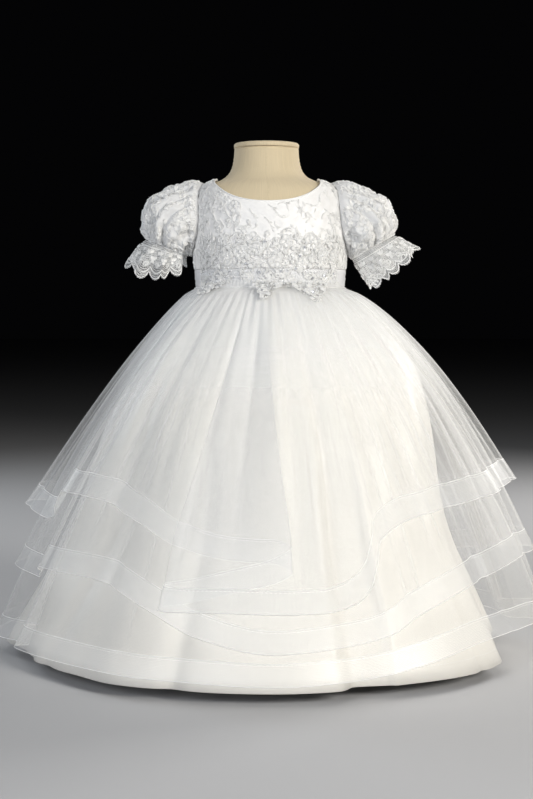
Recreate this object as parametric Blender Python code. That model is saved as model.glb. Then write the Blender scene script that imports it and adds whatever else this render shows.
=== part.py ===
"""Infant christening gown on a limbless dress form.

Metres, +Z up, front of the gown towards -Y, wearer's left arm towards +X.
The origin is the centre of the stand's base, on the floor.

Azimuths are degrees round the Z axis from the front: 0 is the front, 90 is +X, 180 the back.
A cloth piece is a grid of points on the middle of its wall. Solidify gives it its thickness.
"""

import math

import bpy
from mathutils import Vector

# ---------------------------------------------------------------- driving sizes (metres)
WAIST_Z = 0.400           # seam between waistband and skirts
HEM_Z = 0.012             # hem of the satin underskirt
SEAM_GAP = 0.0003         # between two pieces that are sewn edge to edge
CLEARANCE = 0.0016        # between the dress form and the cloth on it

BODICE_WALL = 0.0012
NET_WALL = 0.0010
SATIN_WALL = 0.0012
LACE_WALL = 0.0010
LAYER_PITCH = 0.0019      # between two skirts where they are sewn into the waist
LAYER_SPREAD = 0.009      # how much further apart two net tiers lie at the floor

FLARE = 0.28              # how far a net tier would reach out from the waist at floor level
FLARE_POWER = 0.735       # the bell curve of that outline
FLARE_LEAN = 0.07         # rounder on the right side than on the left
FLARE_TURN = 0.020        # share of the height in which the cloth turns out from the seam
SATIN_GAP = 0.007         # least room at the floor between the satin and the lowest net tier
SATIN_TUCK = 0.080        # how much closer in the satin lies than the net, low down

LAP_SHARE = 0.62          # share of the height over which the lap opens out
WAIST_ROWS = (0.0, 0.014, 0.05, 0.16)   # shares of the height at which every skirt has a row

SIDE_SEAM = 0.045         # degrees between the edge of a skirt panel and its side seam
STEEPEST = 0.6            # slope of a hem past which its braid grows no taller
BRAID_DROP = 0.0208       # height of the 25.4 mm stiff braid as it slopes
WAISTBAND_TOP = 0.420

GATHER_DEPTH = 0.0032     # small soft folds that start at the waist seam
GATHER_WAVES = [(13, 1.1, 0.6), (19, 0.4, 0.4)]   # folds round the waist, phase, share of the depth
SATIN_GATHERS = 0.8       # the satin's own are shallower
SATIN_OFFSET = 9          # and lie this many degrees away from the net's
TUCK_FROM, TUCK_TO = 0.05, 0.62     # shares of the height over which the satin tucks in
CLEAR_SPAN = 5            # degrees each side over which the satin stays inside the net

BASE_RADIUS = 0.085
BASE_HEIGHT = 0.010
BASE_EDGE = (0.004, 0.003)          # how far in and down its edge is bevelled
POLE_RADIUS = 0.011
FLANGE_RADIUS, FLANGE_HEIGHT = 0.024, 0.006     # plate under the torso
FOOT_RADIUS, FOOT_HEIGHT = 0.018, 0.008         # boss on the base
FORM_SIDES, CAP_SIDES, POLE_SIDES, BASE_SIDES = 32, 28, 20, 40
CAP_RADIUS, CAP_HEIGHT, CAP_EDGE = 0.0355, 0.0055, (0.0020, 0.0015)

# ---------------------------------------------------------------- tables
# Dress form, from the top of the neck down: height, half width, half depth, sideways lean.
TORSO = [
    (0.5520, 0.0350, 0.0330, -0.004),
    (0.5400, 0.0358, 0.0335, -0.004),
    (0.5290, 0.0385, 0.0350, -0.004),
    (0.5215, 0.0440, 0.0380, -0.004),
    (0.5165, 0.0530, 0.0415, -0.003),
    (0.5125, 0.0640, 0.0455, -0.003),
    (0.5065, 0.0735, 0.0500, -0.002),
    (0.4970, 0.0785, 0.0550, -0.002),
    (0.4800, 0.0812, 0.0605, -0.001),
    (0.4500, 0.0815, 0.0640, 0.0),
    (0.4200, 0.0800, 0.0632, 0.0),
    (0.4000, 0.0788, 0.0620, 0.0),
    (0.3700, 0.0790, 0.0630, 0.0),
    (0.3400, 0.0780, 0.0630, 0.0),
    (0.3200, 0.0770, 0.0610, 0.0),
    (0.3150, 0.0700, 0.0550, 0.0),
]

# Folds that the three net tiers share: azimuth, reach (1 is the full flare), hem heights of tiers 1 to 3.
NET_FOLDS = [
    (-180, 0.90, 0.128, 0.062, 0.022),
    (-158, 0.97, 0.134, 0.070, 0.022),
    (-135, 0.90, 0.146, 0.082, 0.021),
    (-112, 0.98, 0.156, 0.092, 0.020),
    (-90, 0.980, 0.165, 0.098, 0.020),
    (-72, 0.830, 0.166, 0.104, 0.026),
    (-57, 1.010, 0.190, 0.114, 0.035),
    (-40, 0.935, 0.182, 0.110, 0.027),
    (-27, 0.892, 0.155, 0.088, 0.022),
    (-15, 0.872, 0.134, 0.064, 0.021),
    (0, 0.880, 0.131, 0.052, 0.020),
    (15, 0.866, 0.120, 0.056, 0.021),
    (25, 0.840, 0.145, 0.061, 0.023),
    (34, 0.862, 0.169, 0.080, 0.030),
    (50, 0.930, 0.181, 0.105, 0.046),
    (62, 0.985, 0.189, 0.117, 0.051),
    (80, 1.000, 0.195, 0.120, 0.044),
    (100, 0.880, 0.180, 0.110, 0.028),
    (122, 0.975, 0.160, 0.094, 0.021),
    (145, 0.895, 0.142, 0.076, 0.022),
    (164, 0.965, 0.132, 0.066, 0.022),
]

# The front of the top tier is lapped over itself in a flat Z. Each row is a column of its cloth:
# azimuth at the waist, azimuth at the hem, how far it stands out at the waist and at the hem, hem height.
TOP_LAP = [
    (-42, -42.0, 0.0, 0.0, 0.183),
    (-33, -32.5, 0.0, -0.0010, 0.168),
    (-24, -21.5, 0.0, -0.0025, 0.146),
    (-14, -9.0, 0.0, -0.0030, 0.135),
    (-5, 1.0, 0.0, -0.0030, 0.133),
    (-2.5, 4.6, 0.0, -0.0020, 0.1255),
    (-2.5, 4.6, 0.0018, 0.0030, 0.1250),
    (-5, 1.0, 0.0018, 0.0038, 0.117),
    (-9, -8.0, 0.0018, 0.0040, 0.107),
    (-13, -17.0, 0.0018, 0.0050, 0.097),
    (-15, -22.0, 0.0018, 0.0058, 0.093),
    (-15, -22.0, 0.0036, 0.0110, 0.092),
    (-12, -19.0, 0.0036, 0.0120, 0.090),
    (-5, -9.0, 0.0036, 0.0130, 0.091),
    (3, 1.0, 0.0036, 0.0130, 0.091),
    (10, 9.5, 0.0034, 0.0110, 0.091),
    (16, 16.0, 0.0028, 0.0080, 0.096),
    (21, 20.5, 0.0020, 0.0050, 0.108),
    (25, 23.5, 0.0012, 0.0028, 0.129),
    (29, 26.3, 0.0006, 0.0010, 0.151),
    (35, 33.0, 0.0, 0.0, 0.167),
    (41, 40.5, 0.0, 0.0, 0.174),
    (48, 48.0, 0.0, 0.0, 0.180),
]

# Folds of the satin underskirt: azimuth, reach.
SATIN_FOLDS = [
    (-180, 0.93), (-160, 0.985), (-140, 0.92), (-118, 0.99), (-93, 1.030), (-74, 1.01), (-57, 1.05),
    (-44, 0.985), (-30, 0.955), (-14, 1.005), (0, 0.985), (14.5, 1.005), (20, 0.915), (24, 0.925),
    (28.5, 1.010), (42, 0.970), (60, 0.985), (75, 0.870), (90, 0.890), (110, 0.975), (132, 0.915),
    (156, 0.985),
]

# Sections of a sleeve down its length, for an arm towards +X. Each row: how far out and how high
# its upper end lies, the same for its lower end, half its depth from front to back, its gathers.
RIGHT_PUFF = [
    (0.0900, 0.5150, 0.0868, 0.4362, 0.0345, 0.0006),
    (0.1060, 0.5090, 0.0875, 0.4356, 0.0395, 0.0014),
    (0.1225, 0.4980, 0.0882, 0.4350, 0.0400, 0.0019),
    (0.1330, 0.4850, 0.0889, 0.4344, 0.0385, 0.0020),
    (0.1375, 0.4700, 0.0895, 0.4338, 0.0335, 0.0017),
    (0.1353, 0.4574, 0.0902, 0.4332, 0.0270, 0.0013),
]
RIGHT_FLOUNCE = [
    (0.1353, 0.4574, 0.0902, 0.4332, 0.0270, 0.0013),
    (0.1450, 0.4530, 0.0985, 0.4200, 0.0335, 0.0024),
    (0.1565, 0.4475, 0.1085, 0.4070, 0.0400, 0.0040),
]
LEFT_PUFF = [
    (0.0940, 0.5155, 0.0868, 0.4385, 0.0345, 0.0006),
    (0.1130, 0.5095, 0.0885, 0.4380, 0.0395, 0.0014),
    (0.1290, 0.4970, 0.0898, 0.4376, 0.0400, 0.0019),
    (0.1385, 0.4805, 0.0910, 0.4372, 0.0380, 0.0020),
    (0.1398, 0.4645, 0.0922, 0.4368, 0.0330, 0.0017),
    (0.1353, 0.4530, 0.0935, 0.4365, 0.0265, 0.0013),
]
LEFT_FLOUNCE = [
    (0.1353, 0.4530, 0.0935, 0.4365, 0.0265, 0.0013),
    (0.1455, 0.4440, 0.0942, 0.4350, 0.0330, 0.0024),
    (0.1550, 0.4335, 0.0950, 0.4310, 0.0390, 0.0040),
]
RIGHT_TIP = 8             # degrees by which the cuff's opening tips, its front edge down
LEFT_TIP = 25

# Lower edge of the beaded lace at the waist: azimuth, height.
LACE_EDGE = [
    (-64, 0.3985), (-55, 0.3950), (-45, 0.4010), (-35, 0.4085), (-21, 0.4085), (-13, 0.4030), (-8, 0.3900),
    (-4, 0.3850), (1, 0.3930), (8, 0.4000), (18, 0.4010), (24, 0.3950), (31, 0.3870), (38, 0.3940),
    (48, 0.4030), (60, 0.4080),
]

# Grid of each net tier: tier, columns in front and behind, its rows below the waist's as parts of the rest.
NET_GRID = [
    (0, None, 28, (0.3, 0.65, 1.0)),
    (1, 34, 26, (0.4, 1.0)),
    (2, 34, 26, (0.4, 1.0)),
]

BODICE_SEAM = 0.12        # degrees between the edge of a bodice panel and its seam
NECK_SIDE_Z, NECK_FRONT_Z, NECK_BACK_Z = 0.5172, 0.4925, 0.5040
NECK_POWER = 2.4          # how flat the bottom of the neckline is
UNDERARM_SHARE = 0.42     # share of the bodice's side below the armhole
SHOULDER_SHARE = 0.16     # share of the front's top edge that is one shoulder seam
BODICE_ROWS = (0.0, UNDERARM_SHARE, 0.47, 0.56, 0.66, 0.75, 0.83, 0.90, 0.955, 1.0)
FRONT_COLUMNS, BACK_COLUMNS, BAND_COLUMNS = 20, 10, 36

ARMHOLE_CENTRE = 0.0960   # along the side of the form, measured from the top of the neck
ARMHOLE_HALF_HEIGHT = 0.0365
ARMHOLE_HALF_ANGLE = 24.0

BUTTONS = 4
BUTTON_TOP_Z, BUTTON_PITCH, BUTTON_AZIMUTH = 0.494, 0.023, 176
BUTTON_PROFILE = [(0.0022, 0.0028), (0.0042, 0.0018), (0.0046, 0.0)]   # radius, height

PUFF_GATHERS = 11
FLOUNCE_WAVES = 8
SCALLOPS = 14             # round each cuff
SCALLOP_DEPTH = 0.0062
SCALLOP_COLUMNS = 4
SLEEVE_ROWS = 5
SLEEVE_SEAT = [(-0.0012, 0.0003), (-0.0006, 0.0016)]   # inset from the armhole, stand-off: two rows
# Rows of a cuff: share of its length, share of the scallop's depth.
CUFF_ROWS = [(0.0, 0.0), (0.50, 0.1), (0.82, 0.7), (1.0, 1.0)]
CUFF_DROP = 0.0009        # from the sleeve's end to the cuff
CUFF_SEAM = 0.35          # degrees between the edge of a cuff's half and its seam

LACE_TOP_Z, LACE_TOP_WAVE, LACE_TOP_FOLDS = 0.4360, 0.0050, 9
LACE_COLUMNS, LACE_ROWS = 36, 4
LACE_LIFT = 0.0004        # extra room under the lace where it lies on the net
LACE_SPREAD = 0.007       # height over which the lace moves out from waistband to skirt
LAP_DEPTH = 0.0036        # how much the lap thickens the top tier at the waist
LAP_SIDES = (-23, -15, 10, 29)      # azimuths where the lap starts, is full, begins to end, ends

CLOTH_WHITE = (0.93, 0.93, 0.91)
NET_WHITE = (0.90, 0.91, 0.91)
FORM_LINEN = (0.80, 0.70, 0.50)
STAND_GREY = (0.30, 0.30, 0.31)


# ---------------------------------------------------------------- curves through tables
def smooth_curve(xs, ys, period=None):
    """A smooth curve through rows that doesn't overshoot them; it repeats if it has a period."""
    if period:
        xs = [xs[-1] - period, *xs, xs[0] + period, xs[1] + period]
        ys = [ys[-1], *ys, ys[0], ys[1]]
    slopes = [(ys[i + 1] - ys[i]) / (xs[i + 1] - xs[i]) for i in range(len(xs) - 1)]
    tangents = [slopes[0]]
    for before, after in zip(slopes, slopes[1:]):
        same_way = before * after > 0
        tangents.append(2 * before * after / (before + after) if same_way else 0.0)
    tangents.append(slopes[-1])

    def value(x):
        if period:
            x = (x - xs[1]) % period + xs[1]
        i = max(k for k in range(len(xs) - 1) if xs[k] <= x or k == 0)
        step = xs[i + 1] - xs[i]
        t = min(max((x - xs[i]) / step, 0.0), 1.0)
        rise = ys[i + 1] - ys[i]
        start, end = tangents[i] * step, tangents[i + 1] * step
        return ys[i] + t * (start + t * (3 * rise - 2 * start - end + t * (start + end - 2 * rise)))

    return value


def column(rows, index):
    return [row[index] for row in rows]


def table_curve(rows, index, period=None):
    return smooth_curve(column(rows, 0), column(rows, index), period)


def ease(x, start, end):
    """0 before start, 1 after end, and smooth between them."""
    t = min(max((x - start) / (end - start), 0.0), 1.0)
    return t * t * (3 - 2 * t)


# ---------------------------------------------------------------- the dress form's surface
side_length = [0.0]
for upper, lower in zip(TORSO, TORSO[1:]):
    side_length.append(side_length[-1] + math.hypot(lower[0] - upper[0], lower[1] - upper[1]))
torso_height = smooth_curve(side_length, column(TORSO, 0))
torso_width = smooth_curve(side_length, column(TORSO, 1))
torso_depth = smooth_curve(side_length, column(TORSO, 2))
torso_lean = smooth_curve(side_length, column(TORSO, 3))


def torso_point(azimuth, down, out=0.0):
    """A point of the form, down its side from the neck's top, moved out along its normal."""
    angle = math.radians(azimuth)
    point = Vector((
        torso_lean(down) + torso_width(down) * math.sin(angle),
        -torso_depth(down) * math.cos(angle),
        torso_height(down),
    ))
    if not out:
        return point
    step = 0.0004
    along = torso_point(azimuth, min(down + step, side_length[-1])) - torso_point(azimuth, down - step)
    across = torso_point(azimuth + 0.5, down) - torso_point(azimuth - 0.5, down)
    return point + across.cross(-along).normalized() * out


def down_at(height):
    """How far down the form's side a height is."""
    low, high = 0.0, side_length[-1]
    for _ in range(40):
        middle = (low + high) / 2
        low, high = (middle, high) if torso_height(middle) > height else (low, middle)
    return low


# ---------------------------------------------------------------- the skirts' surfaces
net_reach = table_curve(NET_FOLDS, 1, 360)
net_hems = [table_curve(NET_FOLDS, index, 360) for index in (2, 3, 4)]
satin_reach = table_curve(SATIN_FOLDS, 1, 360)
LAP_START, LAP_END = TOP_LAP[0][0], TOP_LAP[-1][0]

STACK = CLEARANCE + SATIN_WALL         # from the form to the middle of the satin at the seam
waist_row = next(row for row in TORSO if row[0] == WAIST_Z)
WAIST_WIDTH = waist_row[1] + STACK
WAIST_DEPTH = waist_row[2] + STACK


def waist_radius(azimuth, out):
    angle = math.radians(azimuth)
    return 1 / math.hypot(math.sin(angle) / (WAIST_WIDTH + out), math.cos(angle) / (WAIST_DEPTH + out))


def bell(azimuth, share):
    """The outline's spread at a share of the way from waist to floor."""
    power = FLARE_POWER - FLARE_LEAN * math.sin(math.radians(azimuth))
    return FLARE * (share * share / (share + FLARE_TURN)) ** power


def gathers(azimuth, share):
    """Small soft folds that start at the waist seam and fade towards the hem."""
    angle = math.radians(azimuth)
    wave = sum(part * math.sin(count * angle + phase) for count, phase, part in GATHER_WAVES)
    return GATHER_DEPTH * wave * ease(share, 0.0, 0.22) * (1 - 0.75 * ease(share, 0.45, 0.95))


def height_at(share):
    return WAIST_Z - share * (WAIST_Z - HEM_Z)


def share_at(height):
    return (WAIST_Z - height) / (WAIST_Z - HEM_Z)


def polar(radius, azimuth, height):
    angle = math.radians(azimuth)
    return Vector((radius * math.sin(angle), -radius * math.cos(angle), height))


def tier_sag(tier, azimuth):
    """How much further in than the top tier a lower one hangs at floor level, front and sides."""
    front, side = ((0.0, 0.0), (0.004, 0.028), (0.012, 0.030))[tier]
    return front + (side - front) * math.sin(math.radians(azimuth)) ** 2


def layer_gap(share):
    return LAYER_PITCH + LAYER_SPREAD * math.sqrt(share)


def net_radius(azimuth, share, tier):
    return (
        waist_radius(azimuth, 3 * LAYER_PITCH)
        + bell(azimuth, share) * net_reach(azimuth)
        + gathers(azimuth, share)
        - tier_sag(tier, azimuth) * share * share
        - tier * layer_gap(share)
    )


def net_surface(azimuth, share, tier):
    """The middle of a net tier's wall; tier 0 is the top one."""
    return polar(net_radius(azimuth, share, tier), azimuth, height_at(share))


def lap_surface(lap, share):
    """A point of the top tier's lapped front, on the column that a row of TOP_LAP gives."""
    waist_azimuth, hem_azimuth, waist_lift, hem_lift, _ = lap
    down = share / LAP_SHARE
    azimuth = waist_azimuth + (hem_azimuth - waist_azimuth) * min(down, 1.0)
    lift = waist_lift + (hem_lift - waist_lift) * min(down, 1.0)
    return polar(net_radius(azimuth, share, 0) + lift, azimuth, height_at(share))


def satin_surface(azimuth, share):
    radius = (
        waist_radius(azimuth, 0.0)
        + bell(azimuth, share) * satin_reach(azimuth)
        - SATIN_TUCK * ease(share, TUCK_FROM, TUCK_TO)
        + SATIN_GATHERS * gathers(azimuth + SATIN_OFFSET, share)
    )
    over = min(net_radius(azimuth + turn, share, 2) for turn in (-CLEAR_SPAN, 0, CLEAR_SPAN))
    room = LAYER_PITCH + SATIN_GAP * math.sqrt(share)
    return polar(min(radius, over - room), azimuth, height_at(share))


def braid_drop(before, after):
    """How tall the sloping braid is between two points of its hem: more where the hem climbs."""
    run = after - before
    climb = abs(run.z) / max(run.xy.length, 0.004)
    return BRAID_DROP * math.sqrt(1 + min(climb, STEEPEST) ** 2)


# ---------------------------------------------------------------- making solids
def material(name, colour, roughness, metallic=0.0):
    made = bpy.data.materials.new(name)
    made.use_nodes = True
    shader = made.node_tree.nodes["Principled BSDF"]
    shader.inputs["Base Color"].default_value = (*colour, 1.0)
    shader.inputs["Roughness"].default_value = roughness
    shader.inputs["Metallic"].default_value = metallic
    return made


def add_object(name, points, faces, finish):
    mesh = bpy.data.meshes.new(name)
    mesh.from_pydata([tuple(p) for p in points], [], faces)
    mesh.validate()
    mesh.materials.append(finish)
    mesh.shade_smooth()
    made = bpy.data.objects.new(name, mesh)
    bpy.context.scene.collection.objects.link(made)
    return made


def cloth(name, grid, thickness, finish, closed=False, holes=()):
    """A wall of cloth round a grid of points: rows run down the cloth, columns across it.
    Cells named in holes as (row, column) are cut through."""
    width = len(grid[0])
    across = width if closed else width - 1
    points = [p for row in grid for p in row]
    faces = []
    for row in range(len(grid) - 1):
        for col in range(across):
            if (row, col) in holes:
                continue
            right = (col + 1) % width
            faces.append((row * width + col, (row + 1) * width + col,
                          (row + 1) * width + right, row * width + right))
    made = add_object(name, points, faces, finish)
    wall = made.modifiers.new("wall", "SOLIDIFY")
    wall.thickness = thickness
    wall.offset = 0.0
    wall.use_rim = True
    return made


def turned(name, profile, finish, sides=32):
    """A solid of revolution from (radius, height) pairs, top to bottom, capped at both ends."""
    points = []
    for radius, height in profile:
        points += [polar(radius, 360 * k / sides, height) for k in range(sides)]
    return add_object(name, points, closed_faces(len(profile), sides), finish)


def closed_faces(rings, sides):
    faces = []
    for ring in range(rings - 1):
        for k in range(sides):
            right = (k + 1) % sides
            faces.append((ring * sides + k, (ring + 1) * sides + k,
                          (ring + 1) * sides + right, ring * sides + right))
    faces.append(tuple(range(sides)))
    last = (rings - 1) * sides
    faces.append(tuple(last + k for k in reversed(range(sides))))
    return faces


# ---------------------------------------------------------------- dress form
def build_form(linen, metal):
    points = []
    for down in side_length:
        points += [torso_point(360 * k / FORM_SIDES, down) for k in range(FORM_SIDES)]
    add_object("form_torso", points, closed_faces(len(side_length), FORM_SIDES), linen)

    top, _, _, lean = TORSO[0]
    inward, down = CAP_EDGE
    cap = turned("form_neck_cap", [
        (CAP_RADIUS - inward, top + CAP_HEIGHT),
        (CAP_RADIUS, top + CAP_HEIGHT - down),
        (CAP_RADIUS, top + SEAM_GAP),
    ], linen, CAP_SIDES)
    cap.location.x = lean

    bottom = TORSO[-1][0] - SEAM_GAP
    foot = BASE_HEIGHT + SEAM_GAP
    turned("form_pole", [
        (FLANGE_RADIUS, bottom),
        (FLANGE_RADIUS, bottom - FLANGE_HEIGHT),
        (POLE_RADIUS, bottom - FLANGE_HEIGHT - 0.002),
        (POLE_RADIUS, foot + FOOT_HEIGHT + 0.004),
        (FOOT_RADIUS, foot + FOOT_HEIGHT),
        (FOOT_RADIUS, foot),
    ], metal, POLE_SIDES)
    inward, down = BASE_EDGE
    turned("form_base", [
        (BASE_RADIUS - inward, BASE_HEIGHT),
        (BASE_RADIUS, BASE_HEIGHT - down),
        (BASE_RADIUS, 0.0),
    ], metal, BASE_SIDES)


# ---------------------------------------------------------------- bodice
def patch(bottom, top, left, right, across):
    """A grid of (azimuth, down) pairs between four edges, top row first. The top edge's shape
    fades out down to the underarm."""
    def mix(low, high, part):
        return [(1 - part) * a + part * b for a, b in zip(low, high)]

    rows = []
    for v in reversed(BODICE_ROWS):
        pull = ease(v, UNDERARM_SHARE, 1.0)
        row = []
        for i in range(across + 1):
            u = i / across
            upright = mix(bottom(u), top(u), pull)
            level = mix(left(v), right(v), u)
            corner = mix(mix(bottom(0), top(0), pull), mix(bottom(1), top(1), pull), u)
            row.append(tuple(a + b - c for a, b, c in zip(upright, level, corner)))
        rows.append(row)
    return rows


def build_bodice(lace):
    waist = down_at(WAISTBAND_TOP + SEAM_GAP)
    shoulder = ARMHOLE_CENTRE - ARMHOLE_HALF_HEIGHT
    underarm = ARMHOLE_CENTRE + ARMHOLE_HALF_HEIGHT
    neck_side = down_at(NECK_SIDE_Z)
    neck_front = down_at(NECK_FRONT_Z)
    neck_back = down_at(NECK_BACK_Z)
    edge = 90 - BODICE_SEAM
    back_edge = 90 + BODICE_SEAM
    back_turn = 90 - 2 * BODICE_SEAM

    def side_edge(v, towards_front):
        """Side seam up to the underarm, then one half of the armhole."""
        sign = -1 if towards_front else 1
        if v <= UNDERARM_SHARE:
            return 90 + sign * BODICE_SEAM, waist + (underarm - waist) * v / UNDERARM_SHARE
        rise = 2 * (v - UNDERARM_SHARE) / (1 - UNDERARM_SHARE) - 1
        bow = 1 - rise * rise
        return (90 + sign * (BODICE_SEAM + ARMHOLE_HALF_ANGLE * bow),
                ARMHOLE_CENTRE - ARMHOLE_HALF_HEIGHT * rise)

    def mirrored(pair):
        return -pair[0], pair[1]

    def neckline(azimuth, low):
        return low + (neck_side - low) * abs(math.sin(math.radians(azimuth))) ** NECK_POWER

    def front_top(u):
        """Shoulder seam, neckline, other shoulder seam."""
        if u < SHOULDER_SHARE:
            return -edge, shoulder + (neck_side - shoulder) * u / SHOULDER_SHARE
        if u > 1 - SHOULDER_SHARE:
            return edge, shoulder + (neck_side - shoulder) * (1 - u) / SHOULDER_SHARE
        azimuth = -edge + 2 * edge * (u - SHOULDER_SHARE) / (1 - 2 * SHOULDER_SHARE)
        return azimuth, neckline(azimuth, neck_front)

    front = patch(
        lambda u: (-edge + 2 * edge * u, waist),
        front_top,
        lambda v: mirrored(side_edge(v, True)),
        lambda v: side_edge(v, True),
        FRONT_COLUMNS,
    )
    back_seam = 2 * SHOULDER_SHARE

    def back_top(u):
        if u < back_seam:
            return back_edge, shoulder + (neck_side - shoulder) * u / back_seam
        azimuth = back_edge + back_turn * (u - back_seam) / (1 - back_seam)
        return azimuth, neckline(azimuth, neck_back)

    back = patch(
        lambda u: (back_edge + back_turn * u, waist),
        back_top,
        lambda v: side_edge(v, False),
        lambda v: (back_edge + back_turn, waist + (neck_back - waist) * v),
        BACK_COLUMNS,
    )
    out = CLEARANCE + BODICE_WALL / 2
    cloth("bodice_front", [[torso_point(*p, out) for p in row] for row in front], BODICE_WALL, lace)
    cloth("bodice_back_right", [[torso_point(*p, out) for p in row] for row in back], BODICE_WALL, lace)
    left = [[torso_point(-a, d, out) for a, d in reversed(row)] for row in back]
    cloth("bodice_back_left", left, BODICE_WALL, lace)


def build_waistband(satin):
    top, bottom = down_at(WAISTBAND_TOP), down_at(WAIST_Z + 2.5 * SEAM_GAP)
    out = CLEARANCE + BODICE_WALL / 2
    first, turn = BODICE_SEAM - 180, 360 - 2 * BODICE_SEAM
    azimuths = [first + turn * k / BAND_COLUMNS for k in range(BAND_COLUMNS + 1)]
    grid = [[torso_point(a, d, out) for a in azimuths] for d in (top, bottom)]
    cloth("waistband", grid, BODICE_WALL, satin)


def build_buttons(satin):
    """Covered buttons down the centre back, beside the opening."""
    out = CLEARANCE + BODICE_WALL + SEAM_GAP
    for index in range(BUTTONS):
        down = down_at(BUTTON_TOP_Z - BUTTON_PITCH * index)
        foot = torso_point(BUTTON_AZIMUTH, down, out)
        normal = (torso_point(BUTTON_AZIMUTH, down, 2 * out) - foot).normalized()
        button = turned(f"button_{index + 1}", BUTTON_PROFILE, satin, 12)
        button.location = foot
        button.rotation_mode = "QUATERNION"
        button.rotation_quaternion = normal.to_track_quat("Z", "Y")


# ---------------------------------------------------------------- sleeves
def sleeve_section(rows, along):
    """A section of the sleeve at a share of its length, between the table's rows."""
    places = [k / (len(rows) - 1) for k in range(len(rows))]
    return [smooth_curve(places, column(rows, index))(along) for index in range(6)]


def sleeve_point(section, angle, side, waves, tip, hang=0.0):
    """A point round a section: 0 degrees is its upper end, 90 the front."""
    upper = Vector((section[0], section[1]))
    lower = Vector((section[2], section[3]))
    half_depth, gather = section[4], section[5]
    turn, lean = math.radians(angle), math.radians(tip)
    radial = (upper - lower) / 2
    wave = gather * math.sin(waves * turn)
    across = radial.normalized()
    place = (upper + lower) / 2 + across * (radial.length + wave) * math.cos(turn)
    place += Vector((across.y, -across.x)) * hang
    forward = (half_depth + wave) * math.sin(turn)
    return Vector((side * place.x, -forward, place.y - max(forward, 0.0) * math.sin(lean)))


def armhole_point(angle, side, inset, out):
    turn = math.radians(angle)
    half_height = ARMHOLE_HALF_HEIGHT - inset
    half_angle = ARMHOLE_HALF_ANGLE * (1 - inset / 0.025)
    azimuth = 90 - half_angle * math.sin(turn)
    return torso_point(side * azimuth, ARMHOLE_CENTRE - half_height * math.cos(turn), out)


def build_sleeve(name, side, puff, flounce, tip, lace):
    count = 3 * PUFF_GATHERS
    angles = [360 * k / count for k in range(count)]
    if side < 0:
        angles.reverse()
    seat = CLEARANCE + BODICE_WALL + SEAM_GAP + LACE_WALL / 2
    grid = [[armhole_point(a, side, inset, seat + out) for a in angles] for inset, out in SLEEVE_SEAT]
    for row in range(SLEEVE_ROWS + 1):
        section = sleeve_section(puff, row / SLEEVE_ROWS)
        grid.append([sleeve_point(section, a, side, PUFF_GATHERS, 0.0) for a in angles])
    cloth(f"sleeve_{name}", grid, LACE_WALL, lace, closed=True)
    half = SCALLOPS * SCALLOP_COLUMNS // 2
    for part, first in (("front", 0), ("back", half)):
        build_cuff(f"cuff_{name}_{part}", side, flounce, tip, first, half, lace)


def build_cuff(name, side, flounce, tip, first, half, lace):
    """One half of the flounce under a sleeve, cut through once in each scallop."""
    grid = []
    for along, lobe_share in CUFF_ROWS:
        section = sleeve_section(flounce, along)
        row = []
        for k in range(half + 1):
            inward = CUFF_SEAM * ((k == 0) - (k == half))
            angle = 180 * (first + k) / half + inward
            lobe = math.sin(math.pi * (k % SCALLOP_COLUMNS) / SCALLOP_COLUMNS)
            hang = SCALLOP_DEPTH * lobe * lobe_share
            if not along:
                hang = CUFF_DROP
            row.append(sleeve_point(section, angle, side, FLOUNCE_WAVES, tip * along, hang))
        grid.append(row if side > 0 else row[::-1])
    cells = {(1, k) for k in range(half) if k % SCALLOP_COLUMNS in (1, 2)}
    cloth(name, grid, LACE_WALL, lace, holes=cells)


# ---------------------------------------------------------------- skirts
def hem_columns(point, first, last, count):
    """Cloth angles from first to last that lie evenly along the hem, closer together at folds."""
    fine = [first + (last - first) * k / 720 for k in range(721)]
    length = [0.0]
    for here, there in zip(fine, fine[1:]):
        length.append(length[-1] + (point(there) - point(here)).length)
    columns, k = [], 0
    for n in range(count + 1):
        target = length[-1] * n / count
        while k < 719 and length[k + 1] < target:
            k += 1
        part = (target - length[k]) / max(length[k + 1] - length[k], 1e-9)
        columns.append(fine[k] + (fine[k + 1] - fine[k]) * part)
    return columns


def half_ends(half):
    """First and last azimuth of the front or back half, whose side seams are at 90 degrees."""
    return (-90 + SIDE_SEAM, 90 - SIDE_SEAM) if half == "front" else (90 + SIDE_SEAM, 270 - SIDE_SEAM)


def net_columns(tier, first, last, count):
    """Columns of net between two azimuths: each is its hem height and its point at a share."""
    def hem_point(azimuth):
        return net_surface(azimuth, share_at(net_hems[tier](azimuth)), tier)

    def column_at(azimuth):
        return net_hems[tier](azimuth), lambda share: net_surface(azimuth, share, tier)

    return [column_at(a) for a in hem_columns(hem_point, first, last, count)]


def lapped_columns():
    """The top tier's front: the lap's own columns, and some on each side of it."""
    first, last = half_ends("front")
    lap = [(row[4], lambda share, row=row: lap_surface(row, share)) for row in TOP_LAP]
    return net_columns(0, first, LAP_START, 9)[:-1] + lap + net_columns(0, LAP_END, last, 8)[1:]


def build_panel(name, columns, lower_rows, net, braid):
    """One half of a tier, and the braid along its hem."""
    hems = [place(share_at(height)) for height, place in columns]
    last = len(columns) - 1
    drops = [braid_drop(hems[max(k - 1, 0)], hems[min(k + 1, last)]) for k in range(last + 1)]
    tops = [share_at(height + drop) for (height, _), drop in zip(columns, drops)]
    grid = [[place(share) for _, place in columns] for share in WAIST_ROWS]
    first = WAIST_ROWS[-1]
    for part in lower_rows:
        grid.append([place(first + (top - first) * part) for (_, place), top in zip(columns, tops)])
    cloth(f"tier_{name}", grid, NET_WALL, net)
    step = 2.5 * SEAM_GAP / (WAIST_Z - HEM_Z)
    upper = [place(top + step) for (_, place), top in zip(columns, tops)]
    cloth(f"braid_{name}", [upper, hems], NET_WALL, braid)


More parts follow.
